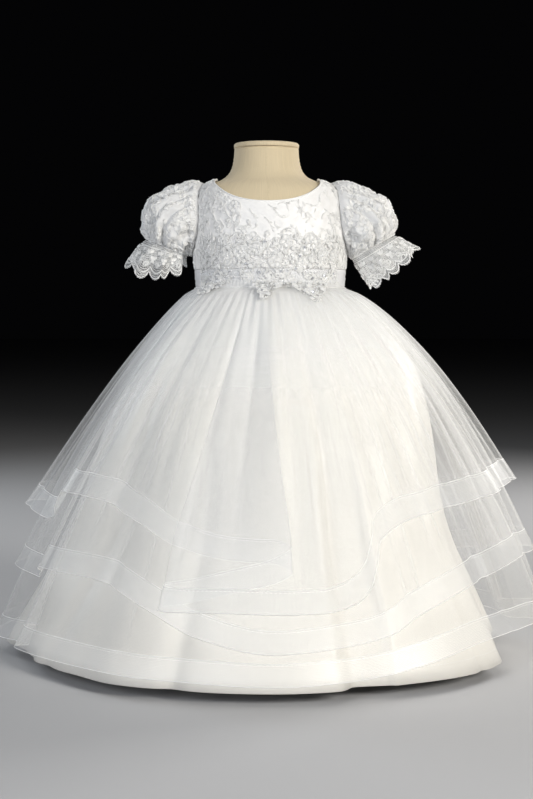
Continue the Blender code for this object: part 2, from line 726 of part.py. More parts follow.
def build_tiers(net, braid):
    for tier, front_count, back_count, lower_rows in NET_GRID:
        if tier == 0:
            front = lapped_columns()
        else:
            front = net_columns(tier, *half_ends("front"), front_count)
        build_panel(f"{tier + 1}_front", front, lower_rows, net, braid)
        back = net_columns(tier, *half_ends("back"), back_count)
        build_panel(f"{tier + 1}_back", back, lower_rows, net, braid)


def build_underskirt(satin):
    for half, count in (("front", 44), ("back", 28)):
        angles = hem_columns(lambda a: satin_surface(a, 1.0), *half_ends(half), count)
        shares = (*WAIST_ROWS, 0.36, 0.66, 1.0)
        grid = [[satin_surface(a, share) for a in angles] for share in shares]
        cloth(f"underskirt_{half}", grid, SATIN_WALL, satin)


# ---------------------------------------------------------------- beaded lace at the waist
def lace_surface(azimuth, height):
    """Over the bodice and waistband, then out over the top of the skirt."""
    out = CLEARANCE + BODICE_WALL + SEAM_GAP + LACE_WALL / 2
    on_body = torso_point(azimuth, down_at(height), out + LACE_LIFT / 2)
    share = max(share_at(height), 0.0)
    over = NET_WALL / 2 + SEAM_GAP + LACE_WALL / 2 + LACE_LIFT + lap_depth(azimuth)
    step = 0.004
    across = net_surface(azimuth + 0.5, share, 0) - net_surface(azimuth - 0.5, share, 0)
    along = net_surface(azimuth, share + step, 0) - net_surface(azimuth, share, 0)
    on_skirt = net_surface(azimuth, share, 0) + across.cross(-along).normalized() * over
    if height < WAIST_Z:
        return on_skirt
    spread = on_skirt - torso_point(azimuth, down_at(WAIST_Z), out)
    return on_body + spread * (1 - ease(height, WAIST_Z, WAIST_Z + LACE_SPREAD))


def lap_depth(azimuth):
    """How much the lap at the waist thickens the top tier."""
    starts, full, ending, ended = LAP_SIDES
    return LAP_DEPTH * ease(azimuth, starts, full) * (1 - ease(azimuth, ending, ended))


def build_applique(lace):
    edge = table_curve(LACE_EDGE, 1)
    first, last = LACE_EDGE[0][0], LACE_EDGE[-1][0]
    grid = []
    for row in range(LACE_ROWS + 1):
        line = []
        for k in range(LACE_COLUMNS + 1):
            azimuth = first + (last - first) * k / LACE_COLUMNS
            top = LACE_TOP_Z + LACE_TOP_WAVE * math.sin(math.radians(azimuth * LACE_TOP_FOLDS))
            line.append(lace_surface(azimuth, top + (edge(azimuth) - top) * row / LACE_ROWS))
        grid.append(line)
    cloth("waist_applique", grid, LACE_WALL, lace)


def build():
    for old in list(bpy.data.objects):
        bpy.data.objects.remove(old)
    lace = material("lace", CLOTH_WHITE, 0.75)
    satin = material("satin", CLOTH_WHITE, 0.35)
    net = material("net", NET_WHITE, 0.8)
    braid = material("braid", NET_WHITE, 0.5)
    linen = material("linen", FORM_LINEN, 0.9)
    metal = material("stand", STAND_GREY, 0.45, 0.8)

    build_form(linen, metal)
    build_bodice(lace)
    build_waistband(satin)
    build_buttons(satin)
    build_sleeve("right", 1, RIGHT_PUFF, RIGHT_FLOUNCE, RIGHT_TIP, lace)
    build_sleeve("left", -1, LEFT_PUFF, LEFT_FLOUNCE, LEFT_TIP, lace)
    build_underskirt(satin)
    build_tiers(net, braid)
    build_applique(lace)


build()
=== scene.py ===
import math

import bmesh
import bpy
import numpy as np
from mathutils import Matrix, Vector


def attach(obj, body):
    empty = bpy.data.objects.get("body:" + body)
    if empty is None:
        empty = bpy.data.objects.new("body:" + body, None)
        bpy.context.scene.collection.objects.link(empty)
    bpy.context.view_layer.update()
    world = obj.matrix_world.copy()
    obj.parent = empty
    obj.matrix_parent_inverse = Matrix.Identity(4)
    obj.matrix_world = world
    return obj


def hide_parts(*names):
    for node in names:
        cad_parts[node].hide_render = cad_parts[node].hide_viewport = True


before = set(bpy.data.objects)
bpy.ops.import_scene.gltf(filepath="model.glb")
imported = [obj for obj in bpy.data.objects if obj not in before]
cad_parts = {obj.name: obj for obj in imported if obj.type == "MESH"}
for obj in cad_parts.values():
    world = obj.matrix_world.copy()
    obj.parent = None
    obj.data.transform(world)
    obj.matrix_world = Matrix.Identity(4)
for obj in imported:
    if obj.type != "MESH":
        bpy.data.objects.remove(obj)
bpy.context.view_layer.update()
print("frame loaded:", len(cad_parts), "nodes")


def linked(name, data):   # a new object in the scene
    made = bpy.data.objects.new(name, data)
    bpy.context.scene.collection.objects.link(made)
    return made


# The camera comes first: the gown is seen straight on, from a little above its waist.
camera = {"place": (-0.004, -1.8, 0.365), "pitch": 2.78, "lens": 73.7}
cameraData = bpy.data.cameras.new("camera")
cameraData.lens = camera["lens"]
cameraObject = linked("camera", cameraData)
cameraObject.location = camera["place"]
cameraObject.rotation_euler = (math.radians(90 - camera["pitch"]), 0, 0)
bpy.context.scene.camera = cameraObject

studio = {
    "floorSize": 60.0, "floorColour": (0.55, 0.55, 0.56), "floorRoughness": 0.9,
    "air": (0.0012, 0.0012, 0.0014), "airStrength": 1.0,
    # name, place, what it points at, width, power, colour
    "lamps": [
        ("keyLight", (1.65, -1.75, 1.00), (0.05, 0, 0.28), 0.6, 41, (1.0, 0.97, 0.91)),
        ("fillLight", (-1.35, -2.2, 1.00), (0, 0, 0.28), 1.3, 30, (0.91, 0.945, 1.0)),
        ("rightRim", (1.5, 1.4, 1.1), (0, 0, 0.25), 0.8, 26, (1.0, 0.98, 0.95)),
        ("leftRim", (-1.5, 1.4, 1.1), (0, 0, 0.25), 0.8, 11, (0.88, 0.94, 1.0)),
        ("topLight", (0.2, -0.3, 1.9), (0, 0, 0.3), 1.0, 3, (1.0, 1.0, 1.0)),
    ],
}


def buildStudio():
    half = studio["floorSize"] / 2
    corners = [(x * half, y * half, 0) for x, y in ((-1, -1), (1, -1), (1, 1), (-1, 1))]
    mesh = bpy.data.meshes.new("floor")
    mesh.from_pydata(corners, [], [(0, 1, 2, 3)])
    mesh.materials.append(plainMaterial("floorPaper", studio["floorColour"], studio["floorRoughness"]))
    linked("floor", mesh)
    world = bpy.data.worlds.new("air")
    world.use_nodes = True
    sky = world.node_tree.nodes["Background"]
    sky.inputs["Color"].default_value = (*studio["air"], 1)
    sky.inputs["Strength"].default_value = studio["airStrength"]
    bpy.context.scene.world = world
    bpy.context.scene.view_settings.view_transform = "Standard"
    for name, place, target, width, power, colour in studio["lamps"]:
        data = bpy.data.lights.new(name, "AREA")
        data.size = width
        data.energy = power
        data.color = colour
        lamp = linked(name, data)
        lamp.location = place
        lamp.rotation_euler = (Vector(target) - Vector(place)).to_track_quat("-Z", "Y").to_euler()


# Materials. Shared effects are node groups that put out masks, tones and heights.
def feed(tree, socket, value):   # a value, or a link from another node
    if isinstance(value, bpy.types.NodeSocket):
        tree.links.new(value, socket)
    else:
        socket.default_value = value


def addNode(tree, kind, inputs=None, **settings):
    node = tree.nodes.new(kind)
    for key, value in settings.items():
        setattr(node, key, value)
    for key, value in (inputs or {}).items():
        feed(tree, node.inputs[key], value)
    return node


def calc(tree, operation, a, b=0.0, c=0.0):
    node = addNode(tree, "ShaderNodeMath", operation=operation)
    for socket, value in zip(node.inputs, (a, b, c)):
        feed(tree, socket, value)
    return node.outputs[0]


def newGroup(name, tree, inputs, outputs):   # a socket's kind is the end of its type's name
    tree = bpy.data.node_groups.new(name, tree)
    for label, kind, value in inputs:
        socket = tree.interface.new_socket(label, in_out="INPUT", socket_type=f"NodeSocket{kind}")
        if value is not None:
            socket.default_value = value
    for label, kind in outputs:
        tree.interface.new_socket(label, in_out="OUTPUT", socket_type=f"NodeSocket{kind}")
    return tree, tree.nodes.new("NodeGroupInput").outputs, tree.nodes.new("NodeGroupOutput").inputs


def shaderGroup(name, inputs, outputs):
    inputs = [("Vector", "Vector", None), *inputs]
    return newGroup(name, "ShaderNodeTree", inputs, [(label, "Float") for label in outputs])


def netGroup():   # round-holed net: Cover is where thread is
    tree, given, out = shaderGroup(
        "netMesh",
        [("Holes per metre", "Float", 900), ("Thread", "Float", 0.16), ("Softness", "Float", 0.12)],
        ["Cover", "Height"])
    cells = addNode(tree, "ShaderNodeTexVoronoi",
                    {"Vector": given["Vector"], "Scale": given["Holes per metre"], "Randomness": 0.45},
                    voronoi_dimensions="2D", feature="DISTANCE_TO_EDGE")
    edge = addNode(tree, "ShaderNodeMapRange", {
        "Value": cells.outputs["Distance"], "From Min": given["Thread"],
        "From Max": calc(tree, "ADD", given["Thread"], given["Softness"]), "To Min": 1.0, "To Max": 0.0})
    tree.links.new(edge.outputs[0], out["Cover"])
    tree.links.new(calc(tree, "SUBTRACT", 0.5, cells.outputs["Distance"]), out["Height"])
    return tree


weaving = {"middle": 0.6, "toneSpan": 0.18, "strength": 0.6}


def weaveGroup():   # crossing threads with slubs; Tone is about 1
    tree, given, out = shaderGroup(
        "weave", [("Threads per metre", "Float", 1500), ("Slub", "Float", 0.3),
                  ("Stretch", "Vector", (40, 700, 40))], ["Height", "Tone"])
    parts = addNode(tree, "ShaderNodeSeparateXYZ", {"Vector": given["Vector"]})
    turn = calc(tree, "MULTIPLY", given["Threads per metre"], math.pi)
    waves = (calc(tree, "SINE", calc(tree, "MULTIPLY", parts.outputs[axis], turn)) for axis in "XY")
    warp, weft = (calc(tree, "ABSOLUTE", wave) for wave in waves)
    long = addNode(tree, "ShaderNodeVectorMath", {0: given["Vector"], 1: given["Stretch"]},
                   operation="MULTIPLY")
    slub = addNode(tree, "ShaderNodeTexNoise", {"Vector": long.outputs[0], "Scale": 1.0, "Detail": 3.0})
    drift = calc(tree, "MULTIPLY", calc(tree, "SUBTRACT", slub.outputs["Fac"], 0.5), given["Slub"])
    height = calc(tree, "ADD", calc(tree, "MULTIPLY", calc(tree, "ADD", warp, weft), 0.5), drift)
    tree.links.new(height, out["Height"])
    above = calc(tree, "SUBTRACT", height, weaving["middle"])
    tree.links.new(calc(tree, "MULTIPLY_ADD", above, weaving["toneSpan"], 1.0), out["Tone"])
    return tree


def creaseGroup():   # soft handling creases, long down the cloth and short across it
    tree, given, out = shaderGroup(
        "softCreases", [("Size", "Float", 0.03), ("Stretch", "Float", 4.0)], ["Height"])
    parts = addNode(tree, "ShaderNodeSeparateXYZ", {"Vector": given["Vector"]}).outputs
    down = calc(tree, "DIVIDE", parts["Y"], given["Stretch"])
    drawn = addNode(tree, "ShaderNodeCombineXYZ", {"X": parts["X"], "Y": down, "Z": parts["Z"]})
    scale = calc(tree, "DIVIDE", 1.0, given["Size"])
    noise = addNode(tree, "ShaderNodeTexNoise", {
        "Vector": drawn.outputs[0], "Scale": scale, "Detail": 2.0, "Roughness": 0.40,
        "Distortion": 0.25})
    tree.links.new(noise.outputs["Fac"], out["Height"])
    return tree


groups = {"net": netGroup(), "weave": weaveGroup(), "creases": creaseGroup()}


def plainMaterial(name, colour, roughness, sheen=None, **sockets):   # sheen is its weight and roughness
    material = bpy.data.materials.new(name)
    material.use_nodes = True
    shader = material.node_tree.nodes["Principled BSDF"]
    shader.inputs["Base Color"].default_value = (*colour, 1)
    shader.inputs["Roughness"].default_value = roughness
    if sheen:
        sockets.update(Sheen_Weight=sheen[0], Sheen_Roughness=sheen[1])
    for label, value in sockets.items():
        shader.inputs[label.replace("_", " ")].default_value = value
    return material


def groupNode(tree, key, **inputs):   # takes the cloth's own coordinates, in metres
    where = tree.nodes.new("ShaderNodeTexCoord").outputs["UV"]
    inputs = {label.replace("_", " "): value for label, value in inputs.items()}
    node = tree.nodes.new("ShaderNodeGroup")
    node.node_tree = groups[key]
    for label, value in {"Vector": where, **inputs}.items():
        feed(tree, node.inputs[label], value)
    return node.outputs


def clothMaterial(name, colour, roughness, threads, weaveDepth=0.00004, slub=0.3, slubs=(40, 700, 40),
                  creaseSize=0.03, creaseDepth=0.0, stretch=4.0, **sockets):
    material = plainMaterial(name, colour, roughness, **sockets)
    tree = material.node_tree
    shader = tree.nodes["Principled BSDF"]
    weave = groupNode(tree, "weave", Threads_per_metre=threads, Slub=slub, Stretch=slubs)
    creases = groupNode(tree, "creases", Size=creaseSize, Stretch=stretch)
    toned = addNode(tree, "ShaderNodeVectorMath", {0: colour}, operation="SCALE")
    tree.links.new(weave["Tone"], toned.inputs["Scale"])
    tree.links.new(toned.outputs[0], shader.inputs["Base Color"])
    large = addNode(tree, "ShaderNodeBump", {
        "Strength": 1.0, "Distance": creaseDepth, "Height": creases["Height"]})
    fine = addNode(tree, "ShaderNodeBump", {
        "Strength": weaving["strength"], "Distance": weaveDepth, "Height": weave["Height"],
        "Normal": large.outputs[0]})
    tree.links.new(fine.outputs[0], shader.inputs["Normal"])
    return material


sheer = {"facing": 0.35, "edgePower": 3.0}   # where a sheer cloth counts as seen edge-on


def sheerMaterial(name, colour, holes, thread, least, most, edge, fold=0.0, roughness=0.7, **sockets):
    # least and most are how opaque the cloth is between and on its threads; edge and fold are how much
    # it closes up when seen edge-on and along a crease
    material = plainMaterial(name, colour, roughness, **sockets)
    tree = material.node_tree
    shader = tree.nodes["Principled BSDF"]
    net = groupNode(tree, "net", Holes_per_metre=holes, Thread=thread)
    crease = addNode(tree, "ShaderNodeAttribute", attribute_name="fold")
    cover = addNode(tree, "ShaderNodeMapRange", {"Value": net["Cover"], "To Min": least, "To Max": most})
    gathered = calc(tree, "MULTIPLY_ADD", crease.outputs["Fac"], fold, cover.outputs[0])
    facing = addNode(tree, "ShaderNodeLayerWeight", {"Blend": sheer["facing"]}).outputs["Facing"]
    closed = calc(tree, "MULTIPLY_ADD", calc(tree, "POWER", facing, sheer["edgePower"]), edge, gathered)
    tree.links.new(calc(tree, "MINIMUM", closed, 1.0), shader.inputs["Alpha"])
    return material


materials = {
    "satin": clothMaterial("satinCloth", (0.775, 0.752, 0.703), 0.36, 3000, creaseSize=0.07,
                           creaseDepth=0.0012, stretch=5.0, sheen=(0.25, 0.4), Specular_IOR_Level=0.40),
    "net": sheerMaterial("netCloth", (0.72, 0.72, 0.715), 850, 0.10, 0.075, 0.24, 0.85, 0.24,
                         sheen=(0.15, 0.4)),
    "braid": sheerMaterial("braidCloth", (0.80, 0.80, 0.795), 700, 0.16, 0.13, 0.40, 0.4, roughness=0.35,
                           sheen=(0.3, 0.3)),
    "lace": clothMaterial("laceGround", (0.93, 0.92, 0.905), 0.42, 1400, 0.00012, creaseSize=0.02,
                          creaseDepth=0.0008, stretch=1.5, sheen=(0.2, 0.5)),
    "sleeveNet": clothMaterial("sleeveNet", (0.72, 0.72, 0.72), 0.5, 1400, 0.00012, creaseSize=0.02,
                               creaseDepth=0.0008, stretch=1.5, sheen=(0.2, 0.5)),
    "band": clothMaterial("bandSatin", (0.80, 0.80, 0.81), 0.32, 3000, creaseDepth=0.0012, stretch=0.3,
                          sheen=(0.25, 0.4)),
    "linen": clothMaterial("formLinen", (0.69, 0.575, 0.385), 0.85, 900, 0.00030, 1.3, (900, 30, 40),
                           creaseSize=0.05, sheen=(0.15, 0.6)),
    "linenThread": plainMaterial("linenThread", (0.70, 0.60, 0.42), 0.8),
    "laceNet": sheerMaterial("laceNet", (0.93, 0.93, 0.92), 620, 0.10, 0.04, 0.75, 0.2,
                             sheen=(0.2, 0.4)),
    "laceBase": sheerMaterial("laceBase", (0.93, 0.93, 0.92), 620, 0.10, 0.04, 0.34, 0.2,
                              sheen=(0.2, 0.4)),
    "satinStitch": clothMaterial("satinStitch", (0.91, 0.902, 0.885), 0.42, 1700, 0.00010,
                                 sheen=(0.25, 0.4)),
    "buttonSatin": clothMaterial("buttonSatin", (0.90, 0.89, 0.87), 0.34, 3000, sheen=(0.25, 0.4)),
    "thread": plainMaterial("corded", (0.95, 0.945, 0.93), 0.45, (0.2, 0.4)),
    "stitch": plainMaterial("stitching", (0.90, 0.90, 0.89), 0.55),
    "bead": plainMaterial("pearlBead", (0.93, 0.93, 0.94), 0.16, Coat_Weight=0.6, Coat_Roughness=0.05),
    "gem": plainMaterial("cutStone", (0.86, 0.88, 0.92), 0.10, Metallic=0.55),
    "metal": plainMaterial("standPaint", (0.30, 0.30, 0.31), 0.42, Metallic=0.7),
}
print("materials ready")

# The gown's measures, in metres, and degrees round the Z axis from the front.
gown = {
    "waistZ": 0.400, "hemZ": 0.012, "bandTop": 0.420, "seam": 0.0003,
    "clearance": 0.0016, "bodiceWall": 0.0012, "laceWall": 0.0010, "satinWall": 0.0012,
    "layerPitch": 0.0019, "layerSpread": 0.009,
    "flare": 0.28, "flarePower": 0.735, "flareLean": 0.07, "flareTurn": 0.020,
    "satinGap": 0.0010, "satinSoft": 0.010, "satinTuck": 0.080, "tuckFrom": 0.10, "tuckTo": 0.78,
    "lapShare": 0.62, "steepest": 0.6, "braidDrop": 0.0208,
    "drawIn": 0.80, "drawSpan": 0.016, "gatherDepth": 0.0032, "rowPower": 1.35,
    "gatherWaves": [(13, 1.1, 0.6), (19, 0.4, 0.4)],
    "gatherSpan": (0, 0.22, 0.45, 0.95), "gatherFades": 0.75,
    "satinGathers": 0.8, "satinOffset": 9, "clearSpan": 3,
    "tierSag": [(0.0, 0.0), (0.004, 0.028), (0.012, 0.030)],
}


def measured(units, rows):   # tables are in whole numbers: each column is divided by its unit
    return [tuple(value / unit for value, unit in zip(row, units)) for row in rows]


# height, half width, half depth, sideways lean
torso = measured((10000, 10000, 10000, 10000), [
    (5520, 350, 330, -40), (5400, 358, 335, -40), (5290, 385, 350, -40), (5215, 440, 380, -40),
    (5165, 530, 415, -30), (5125, 640, 455, -30), (5065, 735, 500, -20), (4970, 785, 550, -20),
    (4800, 812, 605, -10), (4500, 815, 640, 0), (4200, 800, 632, 0), (4000, 788, 620, 0),
    (3700, 790, 630, 0), (3400, 780, 630, 0), (3200, 770, 610, 0), (3150, 700, 550, 0),
])

# azimuth, reach, hem heights of tiers 1 to 3
netFolds = measured((1, 1000, 1000, 1000, 1000), [
    (-180, 900, 128, 62, 22), (-158, 970, 134, 70, 22), (-135, 900, 146, 82, 21),
    (-112, 980, 156, 92, 20), (-90, 980, 165, 98, 20), (-72, 862, 156, 94, 23),
    (-57, 1010, 191, 115, 35), (-40, 935, 182, 110, 27), (-27, 892, 155, 88, 22),
    (-15, 872, 134, 64, 21), (0, 880, 131, 52, 20), (15, 866, 120, 56, 21), (25, 840, 145, 61, 23),
    (34, 862, 169, 80, 30), (50, 930, 181, 105, 46), (62, 985, 189, 117, 51), (80, 1000, 195, 120, 44),
    (100, 880, 180, 110, 28), (122, 975, 160, 94, 21), (145, 895, 142, 76, 22), (164, 965, 132, 66, 22),
])

# the lapped front, a column of it in each row: azimuth at waist and hem, stand-off at each, hem height
topLap = measured((10, 10, 10000, 10000, 10000), [
    (-420, -420, 0, 0, 1830), (-330, -325, 0, -10, 1680), (-240, -215, 0, -25, 1460),
    (-140, -90, 0, -30, 1350), (-50, 10, 0, -30, 1330), (-25, 46, 0, -20, 1255),
    (-25, 46, 18, 30, 1250), (-50, 10, 18, 38, 1170), (-90, -80, 18, 40, 1070),
    (-130, -170, 18, 50, 970), (-150, -220, 18, 58, 930), (-150, -220, 36, 110, 920),
    (-120, -190, 36, 120, 900), (-50, -90, 36, 130, 910), (30, 10, 36, 130, 910),
    (100, 95, 34, 110, 910), (160, 160, 28, 80, 960), (210, 205, 20, 50, 1080),
    (250, 235, 12, 28, 1290), (290, 263, 6, 10, 1510), (350, 330, 0, 0, 1670), (410, 405, 0, 0, 1740),
    (480, 480, 0, 0, 1800),
])

# azimuth, reach
satinFolds = measured((10, 1000), [
    (-1800, 930), (-1600, 985), (-1400, 920), (-1180, 990), (-1030, 985), (-880, 1063), (-720, 1020),
    (-600, 1004), (-460, 1010), (-330, 1052), (-270, 1056), (-205, 1044), (-130, 1066), (0, 1055),
    (135, 1063), (185, 975), (266, 1008), (281, 1066), (335, 1043), (470, 1023), (610, 998), (760, 900),
    (900, 890), (1100, 975), (1320, 915), (1560, 985),
])


def joined(*parts):   # numbers and arrays side by side, as points
    return np.stack(np.broadcast_arrays(*parts), -1)


def alike(a, b):
    return np.broadcast_arrays(np.asarray(a, float), np.asarray(b, float))


def stepLengths(points, axis=0):
    return np.linalg.norm(np.diff(points, axis=axis), axis=-1)


def runLength(steps):   # how far along each point is
    return np.concatenate([[0], np.cumsum(steps)])


def turned(azimuth):   # the same direction, from -180 to 180
    return (azimuth + 180) % 360 - 180


def smoothCurve(xs, ys, period=None):   # through the rows, with no overshoot
    xs, ys = np.array(xs, float), np.array(ys, float)
    if period:
        xs = np.concatenate([[xs[-1] - period], xs, xs[:2] + period])
        ys = np.concatenate([[ys[-1]], ys, ys[:2]])
    step = np.diff(xs)
    slope = np.diff(ys) / step
    both = slope[:-1] * slope[1:]
    total = np.where(both > 0, slope[:-1] + slope[1:], 1)
    tangent = np.concatenate([[slope[0]], np.where(both > 0, 2 * both / total, 0), [slope[-1]]])

    def value(x):
        x = np.asarray(x, float)
        if period:
            x = (x - xs[1]) % period + xs[1]
        i = np.clip(np.searchsorted(xs, x, side="right") - 1, 0, len(step) - 1)
        t = np.clip((x - xs[i]) / step[i], 0, 1)
        rise = ys[i + 1] - ys[i]
        start, end = tangent[i] * step[i], tangent[i + 1] * step[i]
        return ys[i] + t * (start + t * (3 * rise - 2 * start - end + t * (start + end - 2 * rise)))
    return value


def tableCurve(rows, index, period=None):
    return smoothCurve([row[0] for row in rows], [row[index] for row in rows], period)


def ease(x, start, end):
    t = np.clip((np.asarray(x, float) - start) / (end - start), 0, 1)
    return t * t * (3 - 2 * t)


def hill(x, start, full, ending, ended):   # up from 0 to 1, and down again
    return ease(x, start, full) * (1 - ease(x, ending, ended))


def polar(radius, azimuth, height):
    angle = np.radians(azimuth)
    return joined(radius * np.sin(angle), -radius * np.cos(angle), height)


def lifted(surface, stepA, stepB):   # a surface with a third value: how far out along its normal
    def place(a, b, out=0.0):
        a, b = alike(a, b)
        across = surface(a + stepA, b) - surface(a - stepA, b)
        up = surface(a, b - stepB) - surface(a, b + stepB)
        normal = np.cross(across, up)
        normal /= np.linalg.norm(normal, axis=-1, keepdims=True) + 1e-12
        return surface(a, b) + normal * np.asarray(out, float)[..., None]
    return place


sideLength = runLength([math.hypot(b[0] - a[0], b[1] - a[1]) for a, b in zip(torso, torso[1:])])
torsoCurves = [smoothCurve(sideLength, [row[k] for row in torso]) for k in range(4)]
downTable = np.linspace(0, sideLength[-1], 1500)
heightTable = torsoCurves[0](downTable)


def torsoSkin(azimuth, down):
    height, width, depth, lean = (curve(down) for curve in torsoCurves)
    angle = np.radians(azimuth)
    return joined(lean + width * np.sin(angle), -depth * np.cos(angle), height)


def downAt(height):
    return np.interp(-np.asarray(height, float), -heightTable, downTable)


onTorso = lifted(torsoSkin, 0.5, 0.0004)

netReach = tableCurve(netFolds, 1, 360)
netHems = [tableCurve(netFolds, k, 360) for k in (2, 3, 4)]
satinReach = tableCurve(satinFolds, 1, 360)
stack = gown["clearance"] + gown["satinWall"]
bodiceOut = gown["clearance"] + gown["bodiceWall"]
trimOut = bodiceOut + gown["seam"] + gown["laceWall"] / 2   # the middle of what is sewn on the bodice
waistRow = next(row for row in torso if row[0] == gown["waistZ"])


def waistRadius(azimuth, out):
    angle = np.radians(azimuth)
    width, depth = (waistRow[k] + stack + out for k in (1, 2))
    return 1 / np.hypot(np.sin(angle) / width, np.cos(angle) / depth)


def gatheredIn(share, tier):   # how far the layers draw in to the seam, just under it
    return (3 - tier) * gown["layerPitch"] * gown["drawIn"] * (1 - ease(share, 0, gown["drawSpan"]))


def heightAt(share):
    return gown["waistZ"] - share * (gown["waistZ"] - gown["hemZ"])


def shareAt(height):
    return (gown["waistZ"] - height) / (gown["waistZ"] - gown["hemZ"])


def bell(azimuth, share):
    power = gown["flarePower"] - gown["flareLean"] * np.sin(np.radians(azimuth))
    return gown["flare"] * (share * share / (share + gown["flareTurn"])) ** power


def waves(azimuth, rows):   # each row is how many waves there are all round, their phase, their part
    angle = np.radians(azimuth)
    return sum(part * np.sin(count * angle + phase) for count, phase, part in rows)


def gathers(azimuth, share):
    wave = waves(azimuth, gown["gatherWaves"])
    start, full, ending, ended = gown["gatherSpan"]
    fades = 1 - gown["gatherFades"] * ease(share, ending, ended)
    return gown["gatherDepth"] * wave * ease(share, start, full) * fades


def netRadius(azimuth, share, tier):
    front, side = gown["tierSag"][tier]
    sag = front + (side - front) * np.sin(np.radians(azimuth)) ** 2
    return (waistRadius(azimuth, 3 * gown["layerPitch"]) + bell(azimuth, share) * netReach(azimuth)
            + gathers(azimuth, share) - sag * share * share
            - tier * (gown["layerPitch"] + gown["layerSpread"] * np.sqrt(share)))


def satinRadius(azimuth, share):
    radius = (waistRadius(azimuth, 0) + bell(azimuth, share) * satinReach(azimuth)
              - gown["satinTuck"] * ease(share, gown["tuckFrom"], gown["tuckTo"])
              + gown["satinGathers"] * gathers(azimuth + gown["satinOffset"], share))
    span = gown["clearSpan"]
    over = np.minimum.reduce([netRadius(azimuth + turn, share, 2) for turn in (-span, 0, span)])
    over = over - gown["layerPitch"] - gown["satinGap"] * np.sqrt(share)
    soft = gown["satinSoft"] * ease(share, 0, 0.3)
    return (radius + over - np.hypot(radius - over, soft)) / 2


# Making meshes
def floats(values):
    return np.asarray(values).ravel().astype(np.float32)


def pointValues(mesh, name, values, vector=False):
    kind, field = ("FLOAT_VECTOR", "vector") if vector else ("FLOAT", "value")
    mesh.attributes.new(name, kind, "POINT").data.foreach_set(field, floats(values))


def gridMesh(name, points, material, closed=False, fold=None):
    # rows run down the cloth and columns across it; its coordinates are metres on the flat cloth
    uv = clothUv(points, closed)
    rows, cols = points.shape[:2]
    across = cols if closed else cols - 1
    index = np.arange(rows * cols).reshape(rows, cols)
    right = np.roll(index, -1, 1)
    corners = [index[:-1, :across], index[1:, :across], right[1:, :across], right[:-1, :across]]
    faces = np.stack([c.ravel() for c in corners], -1)
    mesh = bpy.data.meshes.new(name)
    mesh.vertices.add(rows * cols)
    mesh.vertices.foreach_set("co", floats(points))
    mesh.loops.add(faces.size)
    mesh.loops.foreach_set("vertex_index", faces.ravel().astype(np.int32))
    mesh.polygons.add(len(faces))
    mesh.polygons.foreach_set("loop_start", np.arange(0, faces.size, 4, dtype=np.int32))
    mesh.update(calc_edges=True)
    mesh.validate()
    layer = mesh.uv_layers.new(name="cloth")
    if closed:   # the last column of faces runs on past the end of the cloth's width
        step, width = uv[:, -1:] - uv[:, -2:-1], uv[:, -1:] - uv[:, :1]
        uv = np.concatenate([uv, uv[:, :1] + step * [1, 0] + width * [1, 0]], 1)
    parts = [uv[:-1, :across], uv[1:, :across], uv[1:, 1:across + 1], uv[:-1, 1:across + 1]]
    layer.data.foreach_set("uv", floats(np.stack([p.reshape(-1, 2) for p in parts], 1)))
    if fold is not None:
        pointValues(mesh, "fold", fold)
    mesh.materials.append(materials[material])
    mesh.shade_smooth()
    return linked(name, mesh)


def clothUv(points, closed=False):   # width along the lowest row, length down the middle column
    low = points[-1]
    if closed:
        low = np.concatenate([low, low[:1]])[:len(points[0])]
    u = runLength(stepLengths(low))
    v = runLength(stepLengths(points).mean(1))
    return joined(u[None, :], -v[:, None])


def applied(made):   # modifiers baked into a plain mesh
    evaluated = made.evaluated_get(bpy.context.evaluated_depsgraph_get())
    mesh = bpy.data.meshes.new_from_object(evaluated)
    made.modifiers.clear()
    made.data = mesh
    return made


def thicken(made, thickness):   # as much inwards as outwards
    wall = made.modifiers.new("wall", "SOLIDIFY")
    wall.thickness = thickness
    wall.offset = 0.0
    wall.use_rim = True
    applied(made)


def reshaped(made, change):
    work = bmesh.new()
    work.from_mesh(made.data)
    change(work)
    work.to_mesh(made.data)
    work.free()
    return made


def closeEnds(made):   # both ends of a tube are filled with a fan
    def fill(work):
        bmesh.ops.holes_fill(work, edges=[edge for edge in work.edges if edge.is_boundary], sides=0)
        bmesh.ops.poke(work, faces=[face for face in work.faces if len(face.verts) > 4])
    return reshaped(made, fill)


def dropLoose(made):
    def drop(work):
        loose = [vert for vert in work.verts if not vert.link_faces]
        bmesh.ops.delete(work, geom=loose, context="VERTS")
    return reshaped(made, drop)


# Geometry Nodes trees, for what follows a line or is set out on points
def geometryTree(name, *inputs):
    inputs = [("Geometry", "Geometry", None), *inputs,
              ("Material", "Material", None), ("Smooth", "Bool", True)]
    return newGroup(name, "GeometryNodeTree", inputs, [("Geometry", "Geometry")])


def finishTree(tree, geometry, given, out):
    smooth = addNode(tree, "GeometryNodeSetShadeSmooth", {
        "Geometry": geometry, "Shade Smooth": given["Smooth"]})
    real = addNode(tree, "GeometryNodeRealizeInstances", {"Geometry": smooth.outputs[0]})
    dressed = addNode(tree, "GeometryNodeSetMaterial", {
        "Geometry": real.outputs[0], "Material": given["Material"]})
    tree.links.new(dressed.outputs[0], out["Geometry"])
    return tree


def setOut(tree, points, piece, rotation, scale):
    return addNode(tree, "GeometryNodeInstanceOnPoints", {
        "Points": points, "Instance": piece, "Rotation": rotation, "Scale": scale}).outputs[0]


